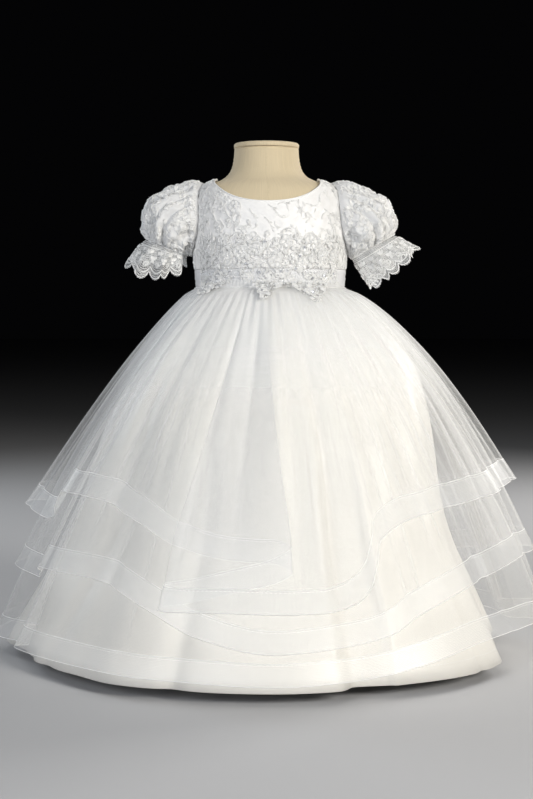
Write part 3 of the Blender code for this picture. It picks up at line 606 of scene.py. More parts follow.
def cordTree():   # a round cord along each line, as thick as its points say
    tree, given, out = geometryTree("cords", ("Sides", "Int", 6))
    thick = addNode(tree, "GeometryNodeInputNamedAttribute", {"Name": "thick"}, data_type="FLOAT")
    curve = addNode(tree, "GeometryNodeMeshToCurve", {"Mesh": given["Geometry"]})
    ring = addNode(tree, "GeometryNodeCurvePrimitiveCircle", {
        "Resolution": given["Sides"], "Radius": 1.0})
    tube = addNode(tree, "GeometryNodeCurveToMesh", {
        "Curve": curve.outputs[0], "Profile Curve": ring.outputs[0],
        "Scale": thick.outputs["Attribute"], "Fill Caps": True})
    return finishTree(tree, tube.outputs[0], given, out)


def stitchTree():   # short stitches along each line
    tree, given, out = geometryTree(
        "stitches", ("Pitch", "Float", 0.003), ("Length", "Float", 0.002), ("Thread", "Float", 0.0003))
    curve = addNode(tree, "GeometryNodeMeshToCurve", {"Mesh": given["Geometry"]})
    spots = addNode(tree, "GeometryNodeCurveToPoints", {
        "Curve": curve.outputs[0], "Length": given["Pitch"]}, mode="LENGTH").outputs
    ball = addNode(tree, "GeometryNodeMeshIcoSphere", {"Radius": 0.5, "Subdivisions": 1})
    size = addNode(tree, "ShaderNodeCombineXYZ", {
        "X": given["Thread"], "Y": given["Thread"], "Z": given["Length"]})
    row = setOut(tree, spots["Points"], ball.outputs["Mesh"], spots["Rotation"], size.outputs[0])
    return finishTree(tree, row, given, out)


def beadTree(name, ball):   # one bead on each point, turned to the cloth
    tree, given, out = geometryTree(name)
    size, normal = (addNode(tree, "GeometryNodeInputNamedAttribute", {"Name": label}, data_type=kind)
                    for label, kind in (("size", "FLOAT"), ("outward", "FLOAT_VECTOR")))
    facing = addNode(tree, "FunctionNodeAlignRotationToVector", {
        "Vector": normal.outputs["Attribute"]}, axis="Z")
    beads = setOut(tree, given["Geometry"], ball(tree), facing.outputs[0], size.outputs["Attribute"])
    return finishTree(tree, beads, given, out)


def roundBead(tree):
    return addNode(tree, "GeometryNodeMeshUVSphere", {
        "Segments": 8, "Rings": 5, "Radius": 0.5}).outputs["Mesh"]


def cutStone(tree):   # a flat-topped stone with eight sides
    return addNode(tree, "GeometryNodeMeshCone", {
        "Vertices": 8, "Radius Top": 0.30, "Radius Bottom": 0.5, "Depth": 0.26}).outputs["Mesh"]


trees = {"cord": cordTree(), "stitch": stitchTree(), "bead": beadTree("beads", roundBead),
         "stone": beadTree("stones", cutStone)}


def runTree(made, key, **inputs):
    tree = trees[key]
    modifier = made.modifiers.new(key, "NODES")
    modifier.node_group = tree
    for item in tree.interface.items_tree:
        if item.in_out == "INPUT" and item.name in inputs:
            modifier[item.identifier] = inputs[item.name]
    return applied(made)


def linesObject(name, lines, closed=None):
    # each line is an array of points and its thickness, one number or one for each point
    points, edges, thick, start = [], [], [], 0
    for k, (line, width) in enumerate(lines):
        count = len(line)
        points.append(line)
        thick.append(np.broadcast_to(width, count))
        edges += [(start + i, start + i + 1) for i in range(count - 1)]
        if closed and closed[k]:
            edges.append((start + count - 1, start))
        start += count
    mesh = bpy.data.meshes.new(name)
    mesh.from_pydata(np.concatenate(points).tolist(), edges, [])
    pointValues(mesh, "thick", np.concatenate(thick))
    return linked(name, mesh)


def cords(name, lines, slot="lace", sides=6, closed=None):
    made = linesObject(name, lines, closed)
    return dress(runTree(made, "cord", Sides=sides, Material=materials["thread"]), slot)


def stitches(name, lines, pitch, length, thread, slot="lace", closed=None, material="stitch"):
    made = linesObject(name, [(line, thread) for line in lines], closed)
    runTree(made, "stitch", Pitch=pitch, Length=length, Thread=thread, Material=materials[material])
    return dress(made, slot)


def setOnCloth(name, key, place, spots, lift, material, smooth=True):
    # beads or stones: where each one is and its size; lift is where it sits, and a point above that
    a, b, sizes = spots.T
    mesh = bpy.data.meshes.new(name)
    mesh.from_pydata(place(a, b, lift[0]).tolist(), [], [])
    pointValues(mesh, "size", sizes)
    pointValues(mesh, "outward", place(a, b, lift[1]) - place(a, b, 0.0), vector=True)
    return dress(runTree(linked(name, mesh), key, Material=materials[material], Smooth=smooth), "lace")


def cutCloth(name, points, material, wall=0.0, closed=False, fold=None):   # the piece, and its area
    made = gridMesh(name, points, material, closed, fold)
    cloth = sum(polygon.area for polygon in made.data.polygons)
    if wall:
        thicken(made, wall)
    print(f"{name}: {cloth:.4f} m2")
    return made, cloth


def dress(made, slot, *nodes):   # rides with the part, and stands for its nodes
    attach(made, "root")
    if nodes:
        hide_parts(*nodes)
    return made


# Skirts
# waist azimuth, hem azimuth, first share, last share, half width in degrees, depth of the trough
creaseUnits = (1, 1, 100, 100, 10, 10000)
satinCreases = measured(creaseUnits, [
    (-34, -40, 2, 70, 26, 30), (-20, -24, 5, 55, 20, 22), (-9, -6, 2, 80, 22, -24),
    (6, 9, 4, 62, 18, 26), (17, 19, 10, 95, 20, 30), (33, 36, 2, 66, 24, 30), (47, 50, 3, 85, 26, 34),
    (-52, -58, 2, 80, 26, 28), (-78, -80, 5, 90, 30, 36), (71, 74, 4, 75, 26, -26),
    (98, 101, 3, 90, 30, 36), (121, 124, 5, 70, 24, 30), (147, 143, 2, 85, 28, 34),
    (168, 170, 4, 65, 22, 26), (-170, -168, 3, 90, 30, 36), (-148, -150, 4, 70, 24, 30),
    (-124, -121, 2, 85, 26, 34), (-103, -106, 5, 75, 24, 28),
])
netCreases = measured(creaseUnits, [
    (-66, -70, 2, 95, 15, 36), (-50, -52, 2, 70, 12, 28), (-38, -43, 3, 100, 15, 34),
    (-28, -33, 2, 62, 11, 24), (-17, -21, 2, 85, 13, 26), (-6, -9, 4, 60, 11, 20),
    (5, 7, 3, 85, 12, 24), (14, 17, 2, 66, 11, 22), (24, 27, 2, 95, 13, 30), (33, 37, 3, 75, 11, 26),
    (43, 47, 2, 100, 13, 34), (53, 58, 2, 80, 11, 30), (63, 69, 3, 100, 13, 36),
    (74, 79, 2, 85, 11, 32), (85, 89, 2, 100, 14, 36), (97, 99, 3, 80, 12, 28),
    (109, 112, 2, 95, 14, 34), (122, 120, 3, 70, 12, 26), (134, 137, 2, 100, 14, 34),
    (147, 146, 2, 75, 12, 28), (160, 163, 3, 95, 14, 32), (172, 171, 2, 80, 12, 28),
    (-174, -176, 2, 100, 14, 34), (-162, -160, 3, 75, 12, 28), (-149, -152, 2, 95, 14, 34),
    (-136, -135, 2, 80, 12, 26), (-123, -126, 3, 100, 14, 34), (-110, -108, 2, 75, 12, 28),
    (-97, -100, 2, 95, 14, 34), (-83, -85, 3, 80, 12, 30),
])
# the broad soft folds that the satin hangs in, and its one pressed pleat
satinTroughs = measured(creaseUnits, [
    (-52, -58, 20, 160, 40, 40), (-19, -21, 35, 160, 26, 30), (-12, -9, 30, 85, 40, 30),
    (11, 9, 30, 90, 30, 30), (44, 47, 30, 95, 30, 40), (50, 52, 40, 160, 22, 30),
    (66, 69, 22, 160, 45, 50), (112, 118, 20, 160, 70, 110), (139, 141, 30, 160, 55, 70),
    (163, 168, 18, 160, 75, 120), (-168, -165, 30, 160, 55, 70), (-142, -147, 20, 160, 75, 110),
    (-118, -121, 30, 160, 55, 70), (-102, -106, 20, 160, 55, 80), (88, 92, 25, 160, 60, 80),
])
trough = {"starts": 0.12, "ends": 0.25, "wide": 1.6, "narrows": 0.8, "line": 0.22}
# fine gathers just under the waist
pleating = {"waves": [(67, 0, 1), (43, 1.3, 0.6)], "depth": 0.0007, "span": (0, 0.03, 0.04, 0.16)}


def troughs(rows, azimuth, share, turn=0.0):
    # how deep they are, and a line from 0 to 1 along the bottom of each
    depth, line = 0.0, 0.0
    for top, low, first, last, width, deep in rows:
        away = turned(azimuth - (top + (low - top) * share + turn))
        spread = width * (trough["wide"] - trough["narrows"] * share)
        lasts = hill(share, first, first + trough["starts"], last - trough["ends"], last)
        depth = depth + deep * (np.exp(-(away / spread) ** 2) * lasts)
        line = line + np.exp(-(away / (trough["line"] * spread)) ** 2) * lasts
    return depth, np.clip(line, 0, 1)


def fineGathers(azimuth, share):
    return pleating["depth"] * waves(azimuth, pleating["waves"]) * hill(share, *pleating["span"])


def evenly(curve, first, last, count):   # values that lie evenly along a curve
    fine = np.linspace(first, last, 4000)
    length = runLength(stepLengths(curve(fine)))
    return np.interp(np.linspace(0, length[-1], count + 1), length, fine)


def waistShares(count):   # rows closer together under the waist
    return np.linspace(0, 1, count + 1) ** gown["rowPower"]


satinPiece = {
    "columns": 430, "rows": 39, "thickness": 0.0005, "flat": (1.70, 0.44), "pleats": 0.5,
    "hemStitch": 0.014, "stitch": (0.0042, 0.0030, 0.0005),   # how high; pitch, length and thread
}


def satinPoint(azimuth, share, out=0.0):
    creases, _ = troughs(satinCreases, azimuth, share)
    folds, _ = troughs(satinTroughs, azimuth, share)
    radius = satinRadius(azimuth, share) - np.maximum(creases, 0) - folds
    radius = radius + fineGathers(azimuth, share) * satinPiece["pleats"]
    return polar(radius + out, azimuth, heightAt(share))


def buildSatin():
    columns = evenly(lambda a: satinPoint(a, 1.0), -180, 180, satinPiece["columns"])[:-1]
    shares = waistShares(satinPiece["rows"])
    points = satinPoint(columns[None, :], shares[:, None])
    skirt, cloth = cutCloth("satinUnderskirt", points, "satin", satinPiece["thickness"], True)
    hem = shareAt(gown["hemZ"] + satinPiece["hemStitch"])
    line = satinPoint(columns, hem, satinPiece["thickness"])
    seam = stitches("satinHemStitches", [line], *satinPiece["stitch"], "satin", [True])
    dress(skirt, "satin", "underskirt_front", "underskirt_back")


netPiece = {
    "columns": (600, 520, 520), "lapColumns": 190, "rows": 41, "braidRows": 5,
    "selvedge": 0.00038, "innerSelvedge": 0.00026, "overlap": 0.0015, "braidOut": 0.0005,
    # what lies under the lap: its stand-off at hem and waist, its azimuth, and how thin its cords are
    "underHem": -0.0019, "underWaist": (0.0002, 0.0035), "underSide": 5, "underFine": 0.35,
    "sway": 0.0018, "swayWaves": (7, 9, 8), "swaySpan": (0.25, 0.8), "turns": (0.0, 5.0, 10.5),
    "liftSpan": (-0.01, 0.02),
    # creases show more at the sides: how much in front, how much more at the sides, from where to where
    "creaseFront": 0.25, "creaseSide": 1.1, "creaseTurn": (18, 52),
    "waist": 0.47, "waistCut": 0.70, "seamAllowance": 0.01,
    "dense": 1.7, "denseTo": 0.36,   # the net is closer where it is gathered in, down to this share
    # rows above the seam, where the front of the top tier is sewn on over the waistband
    "riseRows": 5, "rise": 0.0078, "leastRise": 0.0004, "riseSides": (-60, -44, 58, 72), "riseOut": 0.0011,
    "fullness": 0.0025, "fullTo": 0.03, "crimps": 61, "crimp": 0.0006,
    "bandLean": 0.0012, "stitch": (0.0044, 0.0030, 0.00022), "bandHeight": 0.0254,
    "seamAt": 1.2, "seamOut": 0.0006,
}


def netColumns(tier):
    # each column: azimuth at waist and hem, stand-off at each, hem height
    def hemPoint(azimuth):
        hem = netHems[tier](azimuth)
        return polar(netRadius(azimuth, shareAt(hem), tier), azimuth, hem)

    def plain(first, last, count):
        azimuth = evenly(hemPoint, first, last, count)
        zero = np.zeros_like(azimuth)
        return np.stack([azimuth, azimuth, zero, zero, netHems[tier](azimuth)])

    if tier:
        return plain(-180, 180, netPiece["columns"][tier])[:, :-1]
    ends = topLap[0][0] + 360, topLap[-1][0]
    around = plain(ends[1], ends[0], netPiece["columns"][0] - netPiece["lapColumns"])[:, :-1]
    steps = np.arange(len(topLap))
    curves = [smoothCurve(steps, [row[k] for row in topLap]) for k in range(5)]

    def lapHem(t):
        _, azimuth, _, lift, hem = (curve(t) for curve in curves)
        return polar(netRadius(azimuth, shareAt(hem), 0) + lift, azimuth, hem)

    t = evenly(lapHem, 0, len(topLap) - 1, netPiece["lapColumns"])[:-1]
    return np.concatenate([around, np.stack([curve(t) for curve in curves])], 1)


def frontShare(azimuth):   # 1 where the top tier is sewn on over the waistband, 0 round the back
    return hill(turned(azimuth), *netPiece["riseSides"])


def netPoint(columns, share, tier, out=0.0):
    waist, hem, waistLift, hemLift, _ = columns
    down = np.minimum(share / gown["lapShare"], 1)
    azimuth = waist + (hem - waist) * down
    lift = waistLift + (hemLift - waistLift) * down
    dip, line = troughs(netCreases, azimuth, share, netPiece["turns"][tier])
    wave = np.sin(netPiece["swayWaves"][tier] * np.radians(azimuth) + tier)
    sway = netPiece["sway"] * wave * ease(share, *netPiece["swaySpan"])
    radius = netRadius(azimuth, share, tier) + lift * ease(share, *netPiece["liftSpan"]) - dip + sway
    radius = radius + fineGathers(azimuth, share) - gatheredIn(share, tier)
    sideways = ease(np.abs(turned(azimuth)), *netPiece["creaseTurn"])
    side = netPiece["creaseFront"] + netPiece["creaseSide"] * sideways
    if tier == 0:
        full = 1 - ease(share, 0.0, netPiece["fullTo"])
        radius = radius + netPiece["fullness"] * frontShare(azimuth) * full
    gathered = netPiece["dense"] * (1 - ease(share, 0.0, netPiece["denseTo"]))
    return polar(radius + out, azimuth, heightAt(share)), line * side + gathered


def braidTops(columns, tier):   # the stiff braid is taller where its hem climbs
    hems = netPoint(columns, shareAt(columns[4]), tier)[0]
    run = np.roll(hems, -3, 0) - np.roll(hems, 3, 0)
    climb = np.abs(run[:, 2]) / np.maximum(np.linalg.norm(run[:, :2], axis=1), 0.004)
    drop = gown["braidDrop"] * np.sqrt(1 + np.minimum(climb, gown["steepest"]) ** 2)
    soft = np.convolve(np.concatenate([drop[-6:], drop, drop[:6]]), np.ones(13) / 13, "valid")
    return shareAt(columns[4] + soft)


def sewnOver(columns, points, line):   # more rows on top, up over the waistband
    rows = np.linspace(1, 0, netPiece["riseRows"], endpoint=False)[:, None]
    azimuth = columns[0]
    up = netPiece["rise"] * frontShare(azimuth) + netPiece["leastRise"]
    fold = np.abs(np.sin(np.radians(azimuth * netPiece["crimps"]))) * netPiece["crimp"]
    full = netPiece["fullness"] * frontShare(azimuth) * (1 - rows) ** 1.5
    out = bodiceOut + netPiece["riseOut"] + fold + full
    over = onTorso(azimuth[None, :], downAt(gown["waistZ"] + up * rows), out)
    dense = np.repeat(line[:1] + netPiece["dense"], len(rows), 0)
    return np.concatenate([over, points]), np.concatenate([dense, line])


def buildTier(tier):
    name = f"{tier + 1}"
    columns = netColumns(tier)
    tops, hems = braidTops(columns, tier), shareAt(columns[4])
    overlap = netPiece["overlap"] / (gown["waistZ"] - gown["hemZ"])
    down = waistShares(netPiece["rows"])[:, None] * (tops + overlap)[None, :]
    points, line = netPoint(columns, down, tier)
    if tier == 0:
        points, line = sewnOver(columns, points, line)
    net, netArea = cutCloth(f"netTier{name}", points, "net", closed=True, fold=line)
    out = netPiece["braidOut"]
    along = np.linspace(0, 1, netPiece["braidRows"] + 1)[:, None]
    band, _ = netPoint(columns, tops + (hems - tops) * along, tier, out + netPiece["bandLean"] * along)
    braid, _ = cutCloth(f"braid{name}", band, "braid", closed=True)
    # the cords are finest in the folds that lie under the front of the lap
    waistLift, hemLift = columns[2], columns[3]
    nearest, farthest = netPiece["underWaist"]
    under = (waistLift > nearest) & (waistLift < farthest) & (columns[1] < netPiece["underSide"])
    fine = np.where(under | (hemLift < netPiece["underHem"]), netPiece["underFine"], 1.0)
    lines = [(band[0], netPiece["innerSelvedge"] * fine), (band[-1], netPiece["selvedge"] * fine)]
    edges = cords(f"braidEdges{name}", lines, "braid", 4, [True, True])
    seam, _ = netPoint(columns, tops + overlap * netPiece["seamAt"], tier, out + netPiece["seamOut"])
    seamLine = stitches(f"braidStitches{name}", [seam], *netPiece["stitch"], "braid", [True])
    hemLength = float(stepLengths(band[-1]).sum())
    for piece in (net, braid, edges, seamLine):   # light goes through the net, however many folds there are
        piece.visible_shadow = False
    dress(net, "net", f"tier_{name}_front", f"tier_{name}_back")
    dress(braid, "braid", f"braid_{name}_front", f"braid_{name}_back")


# Dress form
formPiece = {
    "columns": 72, "rows": 90,
    "capRadius": 0.0355, "capHeight": 0.0055, "capRound": 0.0022, "capSides": 72,
    "seams": (0, 90, 180, 270), "stitch": (0.004, 0.0028, 0.0005),
}


def roundTurn(count):   # degrees, evenly round
    return np.arange(count) * 360 / count


def latheGrid(profile, sides):
    radii, heights = np.array(profile).T
    return polar(radii[:, None], roundTurn(sides)[None, :], heights[:, None])


def buildForm():
    downs = np.linspace(0, sideLength[-1], formPiece["rows"] + 1)
    points = torsoSkin(roundTurn(formPiece["columns"])[None, :], downs[:, None])
    body = closeEnds(gridMesh("formBody", points, "linen", closed=True))
    lines = [onTorso(float(a), downs[4:-4], 0.0001) for a in formPiece["seams"]]
    stitches("formSeams", lines, *formPiece["stitch"], "linen", material="linenThread")
    dress(body, "linen", "form_torso")
    top, _, _, lean = torso[0]
    low, high = top + gown["seam"], top + formPiece["capHeight"]
    radius, corner = formPiece["capRadius"], formPiece["capRound"]
    profile = [(radius * k, high) for k in (0.02, 0.4, 0.75)]
    for degrees in range(0, 105, 15):
        turn = math.radians(degrees)
        profile.append((radius - corner * (1 - math.sin(turn)), high - corner * (1 - math.cos(turn))))
    profile += [(radius, low + 0.0004), (radius - 0.0006, low)]
    grid = latheGrid(profile, formPiece["capSides"]) + [lean, 0, 0]
    dress(closeEnds(gridMesh("formCap", grid, "linen", closed=True)), "linen", "form_neck_cap")
    for node in ("form_pole", "form_base"):
        stand = bpy.data.objects[node]
        stand.material_slots[0].material = materials["metal"]
    print("dress form built")


# Floral lace, laid out at random from petals, leaves and curling stems.
# Everything is drawn in metres on a flat patch, then wrapped round the place where it lies.
laceWork = {
    "cord": 0.00047, "fineCord": 0.00028, "lift": 0.0005, "dome": 0.00035,
    "outlinePoints": 12, "sides": 3,
    "faint": 0.55,   # how thick a vine is where the lace is quiet
    "inner": 0.62, "leafRows": 5, "tries": 1800,
    "heartBead": 0.0020, "flowerRoom": 0.55, "sprigRoom": 0.12,
    # how far beads lie off the cloth, and how far out to look for its outward side
    "beadLift": (0.0009, 0.002),
}

# their lengths and widths are in parts of the whole size, and their angles in radians
flower = {
    "petals": (5, 6), "sway": 0.08, "length": (0.80, 0.95), "width": (0.78, 0.95), "crowding": 5.2,
    "plump": 1.25, "notch": (0.0, 0.12), "heart": 0.20, "seat": 0.8,
}
sprig = {
    "points": 15, "curl": (1.2, 2.6), "tightens": 1.6, "leaves": 4, "firstLeaf": 2, "leafSpan": 11,
    "lean": (0.6, 1.0), "length": (0.34, 0.46), "shrinks": 0.35, "width": (0.42, 0.55), "bend": 0.25,
    "tip": (0.24, 0.13),
}
vine = {
    "points": 27, "winding": (0.5, 1.0), "turns": 4.2, "curl": (2.6, 4.2), "curlFrom": 0.55,
    "tightens": 1.4, "beside": 0.0011, "leavesAt": (6, 11, 16), "lean": (0.6, 0.9), "leaf": (0.15, 0.05),
}


def newBag():
    return {"lines": [], "fills": [], "beads": []}


def draw(bag, points, thick="cord", lift=1.0, loop=False):   # lift is in parts of the usual one
    bag["lines"].append((points, laceWork.get(thick, thick), laceWork["lift"] * lift, loop))


def leafHalf(t, plump):   # half width along a leaf, 0 at both ends
    return np.sin(np.pi * np.clip(t, 0, 1) ** plump) ** 0.85


def turnedBy(points, angle, start=(0, 0)):
    c, s = math.cos(angle), math.sin(angle)
    x, y = points[..., 0], points[..., 1]
    return joined(start[0] + x * c - y * s, start[1] + x * s + y * c)


def addLeaf(bag, wrap, start, angle, length, width, plump=0.8, bend=0.0, notch=0.0, vein=True,
            filled=True, inner=False):
    def put(points):
        return wrap(turnedBy(points, angle, start))

    count = laceWork["outlinePoints"] // 2
    t = np.linspace(0, 1, count + 1)
    reach = length * (t - notch * np.exp(-((1 - t) / 0.12) ** 2))
    half = width / 2 * leafHalf(t, plump)
    if notch:
        half = half + width * 0.16 * np.exp(-((1 - t) / 0.10) ** 2) * (t < 0.999)
    middle = bend * length * t * t
    right = joined(middle + half, reach)
    left = joined(middle - half, reach)[::-1][1:-1]
    draw(bag, put(np.concatenate([right, left])), loop=True)
    if inner:
        small = joined(middle + (right[:, 0] - middle) * laceWork["inner"], reach * 0.86 + length * 0.04)
        other = joined(2 * middle - small[:, 0], small[:, 1])[::-1][1:-1]
        draw(bag, put(np.concatenate([small, other])), "fineCord", 1.6, True)
    if vein:
        draw(bag, put(joined(bend * length * t[1:-1] ** 2, length * t[1:-1])), "fineCord", 1.5)
    if filled:
        rows = np.linspace(0.03, 0.97, laceWork["leafRows"])[:, None]
        across = np.array([[-1.0, 0.0, 1.0]])
        x = bend * length * rows ** 2 + across * width / 2 * leafHalf(rows, plump)
        grid = joined(x, length * rows)
        lift = 0.0001 + laceWork["dome"] * (1 - across ** 2) * np.sin(np.pi * rows) ** 0.5
        bag["fills"].append((put(grid), np.broadcast_to(lift, grid.shape[:2]), grid))


def addRing(bag, wrap, centre, radius, thick="cord", lift=1.0, count=10):
    turn = np.arange(count) * 2 * np.pi / count
    ring = joined(centre[0] + radius * np.cos(turn), centre[1] + radius * np.sin(turn))
    draw(bag, wrap(ring), thick, lift, True)


def addFlower(bag, wrap, size, dice):
    count = int(dice.choice(flower["petals"]))
    first = dice.uniform(0, 2 * np.pi)
    heart, seat = size * flower["heart"], flower["seat"]
    for k in range(count):
        angle = first + 2 * np.pi * k / count + dice.uniform(-flower["sway"], flower["sway"])
        length = size * dice.uniform(*flower["length"])
        width = size * dice.uniform(*flower["width"]) * flower["crowding"] / count
        start = (-math.sin(angle) * heart * seat, math.cos(angle) * heart * seat)
        addLeaf(bag, wrap, start, angle, length, width, plump=flower["plump"],
                notch=dice.uniform(*flower["notch"]), vein=False, inner=True)
    addRing(bag, wrap, (0, 0), heart, lift=2)
    addRing(bag, wrap, (0, 0), heart * 0.5, lift=2.4, count=8)


def addSprig(bag, wrap, size, dice):
    # a curling stem, its heading changing along it, with leaves by turns on each side
    steps, leaves = np.linspace(0, 1, sprig["points"]), sprig["leaves"]
    curl = dice.uniform(*sprig["curl"]) * dice.choice([-1, 1])
    heading = curl * steps ** sprig["tightens"]
    step = size / (sprig["points"] - 1)
    stem = joined(runLength(np.sin(heading[:-1]) * step), runLength(np.cos(heading[:-1]) * step))
    draw(bag, wrap(stem))
    for k in range(leaves):
        at = int(sprig["firstLeaf"] + k * sprig["leafSpan"] / leaves)
        side = 1 if k % 2 else -1
        angle = -heading[at] + side * dice.uniform(*sprig["lean"])
        long = size * dice.uniform(*sprig["length"]) * (1 - sprig["shrinks"] * k / leaves)
        addLeaf(bag, wrap, tuple(stem[at]), angle, long, long * dice.uniform(*sprig["width"]),
                bend=sprig["bend"] * side, vein=k % 2 == 0)
    length, width = sprig["tip"]
    addLeaf(bag, wrap, tuple(stem[-1]), -heading[-1], size * length, size * width, vein=False)


def addVine(bag, wrap, size, dice):   # a long stem that winds one way and then curls up the other
    steps = np.linspace(0, 1, vine["points"])
    side, last = dice.choice([-1, 1]), vine["points"] - 1
    winding = dice.uniform(*vine["winding"]) * np.sin(steps * vine["turns"])
    tight = np.clip(steps - vine["curlFrom"], 0, 1) ** vine["tightens"]
    heading = side * (winding - dice.uniform(*vine["curl"]) * tight)
    stem = joined(np.cumsum(np.sin(heading) * size / last), np.cumsum(np.cos(heading) * size / last))
    draw(bag, wrap(stem), lift=1.4)
    away = vine["beside"] * np.sin(np.pi * steps) ** 0.5
    draw(bag, wrap(stem + joined(np.cos(heading), -np.sin(heading)) * away[:, None]), "fineCord")
    length, width = vine["leaf"]
    for at in vine["leavesAt"]:
        turn = side * dice.choice([-1, 1]) * dice.uniform(*vine["lean"])
        addLeaf(bag, wrap, tuple(stem[at]), -heading[at] + turn, size * length, size * width, bend=0.2,
                filled=False)


def addBud(bag, wrap, size):
    for side in (-1, 0, 1):
        addLeaf(bag, wrap, (0, 0), side * 0.55, size * (1 if side == 0 else 0.8), size * 0.42,
                bend=0.2 * side, vein=side == 0)
    addRing(bag, wrap, (0, -size * 0.08), size * 0.11)


def wrapAt(spot, turn):   # turns metres round a spot into the cloth's own coordinates
    a, b, perA, perB = spot[:4]
    c, s = math.cos(turn), math.sin(turn)

    def toCloth(points):
        x, y = points[..., 0], points[..., 1]
        return joined(a + (x * c - y * s) / perA, b + (x * s + y * c) / perB)
    return toCloth


def spotsAt(place, a, b, steps):
    # each spot: where it is on the cloth, metres for each unit there, its point
    a, b = alike(a, b)
    stepA, stepB = steps
    perA = np.linalg.norm(place(a + stepA, b) - place(a - stepA, b), axis=-1) / (2 * stepA)
    perB = np.linalg.norm(place(a, b + stepB) - place(a, b - stepB), axis=-1) / (2 * stepB)
    return list(zip(a.tolist(), b.tolist(), perA.tolist(), perB.tolist(), place(a, b)))


def scatter(place, box, inside, spacing, dice, steps, taken=()):
    # spots at least a spacing apart, and that far from the edge of each one already taken
    a, b = (dice.uniform(*box[k:k + 2], laceWork["tries"]) for k in (0, 2))
    good = inside(a, b)
    centres = [spot for spot, _ in taken]
    rooms = [room for _, room in taken]
    chosen = []
    for spot in spotsAt(place, a[good], b[good], steps):
        if centres:
            away = np.linalg.norm(np.array(centres) - spot[4], axis=1) - np.array(rooms)
            if away.min() < spacing:
                continue
        centres.append(spot[4])
        rooms.append(0.0)
        chosen.append(spot)
    return chosen


def fillLace(bag, place, box, inside, steps, dice, spacing, sizes, kept=(), quiet=None):
    # flowers first, sprigs between them, then buds in what is left, and vines over all;
    # a quiet place has vines only
    taken = list(kept)

    def anyWay(spot):
        return wrapAt(spot, dice.uniform(0, 6.28))

    def busy(a, b):
        return inside(a, b) & ~quiet(a, b) if quiet else inside(a, b)

    for spot in scatter(place, box, busy, spacing["flower"], dice, steps, taken):
        size = sizes["flower"] * dice.uniform(0.85, 1.15)
        addFlower(bag, anyWay(spot), size, dice)
        bag["beads"].append((spot[:2], laceWork["heartBead"]))
        taken.append((spot[4], size * laceWork["flowerRoom"]))
    for spot in scatter(place, box, busy, spacing["sprig"], dice, steps, taken):
        addSprig(bag, anyWay(spot), sizes["sprig"] * dice.uniform(0.85, 1.2), dice)
        taken.append((spot[4], sizes["sprig"] * laceWork["sprigRoom"]))
    for spot in scatter(place, box, busy, spacing["bud"], dice, steps, taken):
        addBud(bag, anyWay(spot), sizes["bud"] * dice.uniform(0.8, 1.2))
    for spot in scatter(place, box, inside, spacing["vine"], dice, steps):
        before, faint = len(bag["lines"]), laceWork["faint"]
        addVine(bag, anyWay(spot), sizes["vine"] * dice.uniform(0.8, 1.2), dice)
        if quiet and quiet(spot[0], spot[1]):
            bag["lines"][before:] = [(line, thick * faint, lift * faint, loop)
                                     for line, thick, lift, loop in bag["lines"][before:]]


def buildLace(name, place, box, inside, steps, seed, piece, quiet=None):
    bag, dice = newBag(), np.random.default_rng(seed)
    fillLace(bag, place, box, inside, steps, dice, piece["spacing"], piece["sizes"], quiet=quiet)
    return sewnOn(name, bag, place, inside)


def placed(place, parts):   # many stretches of cloth coordinates, with their lifts, in one go
    flat = np.concatenate([cloth.reshape(-1, 2) for cloth, _ in parts])
    lift = np.concatenate([np.broadcast_to(out, cloth.shape[:-1]).ravel() for cloth, out in parts])
    points = place(flat[:, 0], flat[:, 1], lift)
    ends = np.cumsum([cloth.size // 2 for cloth, _ in parts])[:-1]
    return np.split(points, ends)


def sewnOn(name, bag, place, inside):
    # what crosses the panel's edge is cut off there
    runs, thicks, closed = [], [], []

    def keepRun(cloth, lift, thick, loop):
        runs.append((cloth, lift))
        thicks.append(thick)
        closed.append(loop)

    for cloth, thick, lift, loop in bag["lines"]:
        keep = inside(cloth[:, 0], cloth[:, 1])
        if keep.all():
            keepRun(cloth, lift, thick, loop)
            continue
        if loop and keep.any():
            first = int(np.argmin(keep))
            cloth, keep = np.roll(cloth, -first, 0), np.roll(keep, -first)
        for run in np.split(np.arange(len(keep)), np.where(np.diff(keep.astype(int)))[0] + 1):
            if keep[run[0]] and len(run) > 2:
                keepRun(cloth[run], lift, thick, False)
    lines = list(zip(placed(place, runs), thicks))
    made = [cords(f"{name}Cords", lines, sides=laceWork["sides"], closed=closed)]
    grids, faces, spots, start = [], [], [], 0
    for cloth, lift, flat in bag["fills"]:
        rows, cols = cloth.shape[:2]
        keep = inside(cloth[..., 0], cloth[..., 1])
        index = np.arange(rows * cols).reshape(rows, cols) + start
        good = keep[:-1, :-1] & keep[1:, :-1] & keep[1:, 1:] & keep[:-1, 1:]
        if good.any():
            corners = (index[:-1, :-1], index[:-1, 1:], index[1:, 1:], index[1:, :-1])
            faces.append(joined(*corners)[good])
            grids.append((cloth, lift))
            spots.append(flat.reshape(-1, 2))
            start += rows * cols
    faces = np.concatenate(faces)
    mesh = bpy.data.meshes.new(f"{name}Fill")
    mesh.from_pydata(np.concatenate(placed(place, grids)).tolist(), [], faces.tolist())
    layer = mesh.uv_layers.new(name="cloth")
    layer.data.foreach_set("uv", floats(np.concatenate(spots)[faces.ravel()]))
    mesh.materials.append(materials["satinStitch"])
    mesh.shade_smooth()
    made.append(dress(dropLoose(linked(f"{name}Fill", mesh)), "lace"))
    beads = [(*spot, size) for spot, size in bag["beads"] if inside(*np.array(spot))]
    if beads:
        beads = np.array(beads)
        made.append(setOnCloth(f"{name}Beads", "bead", place, beads, laceWork["beadLift"], "bead"))
    return made


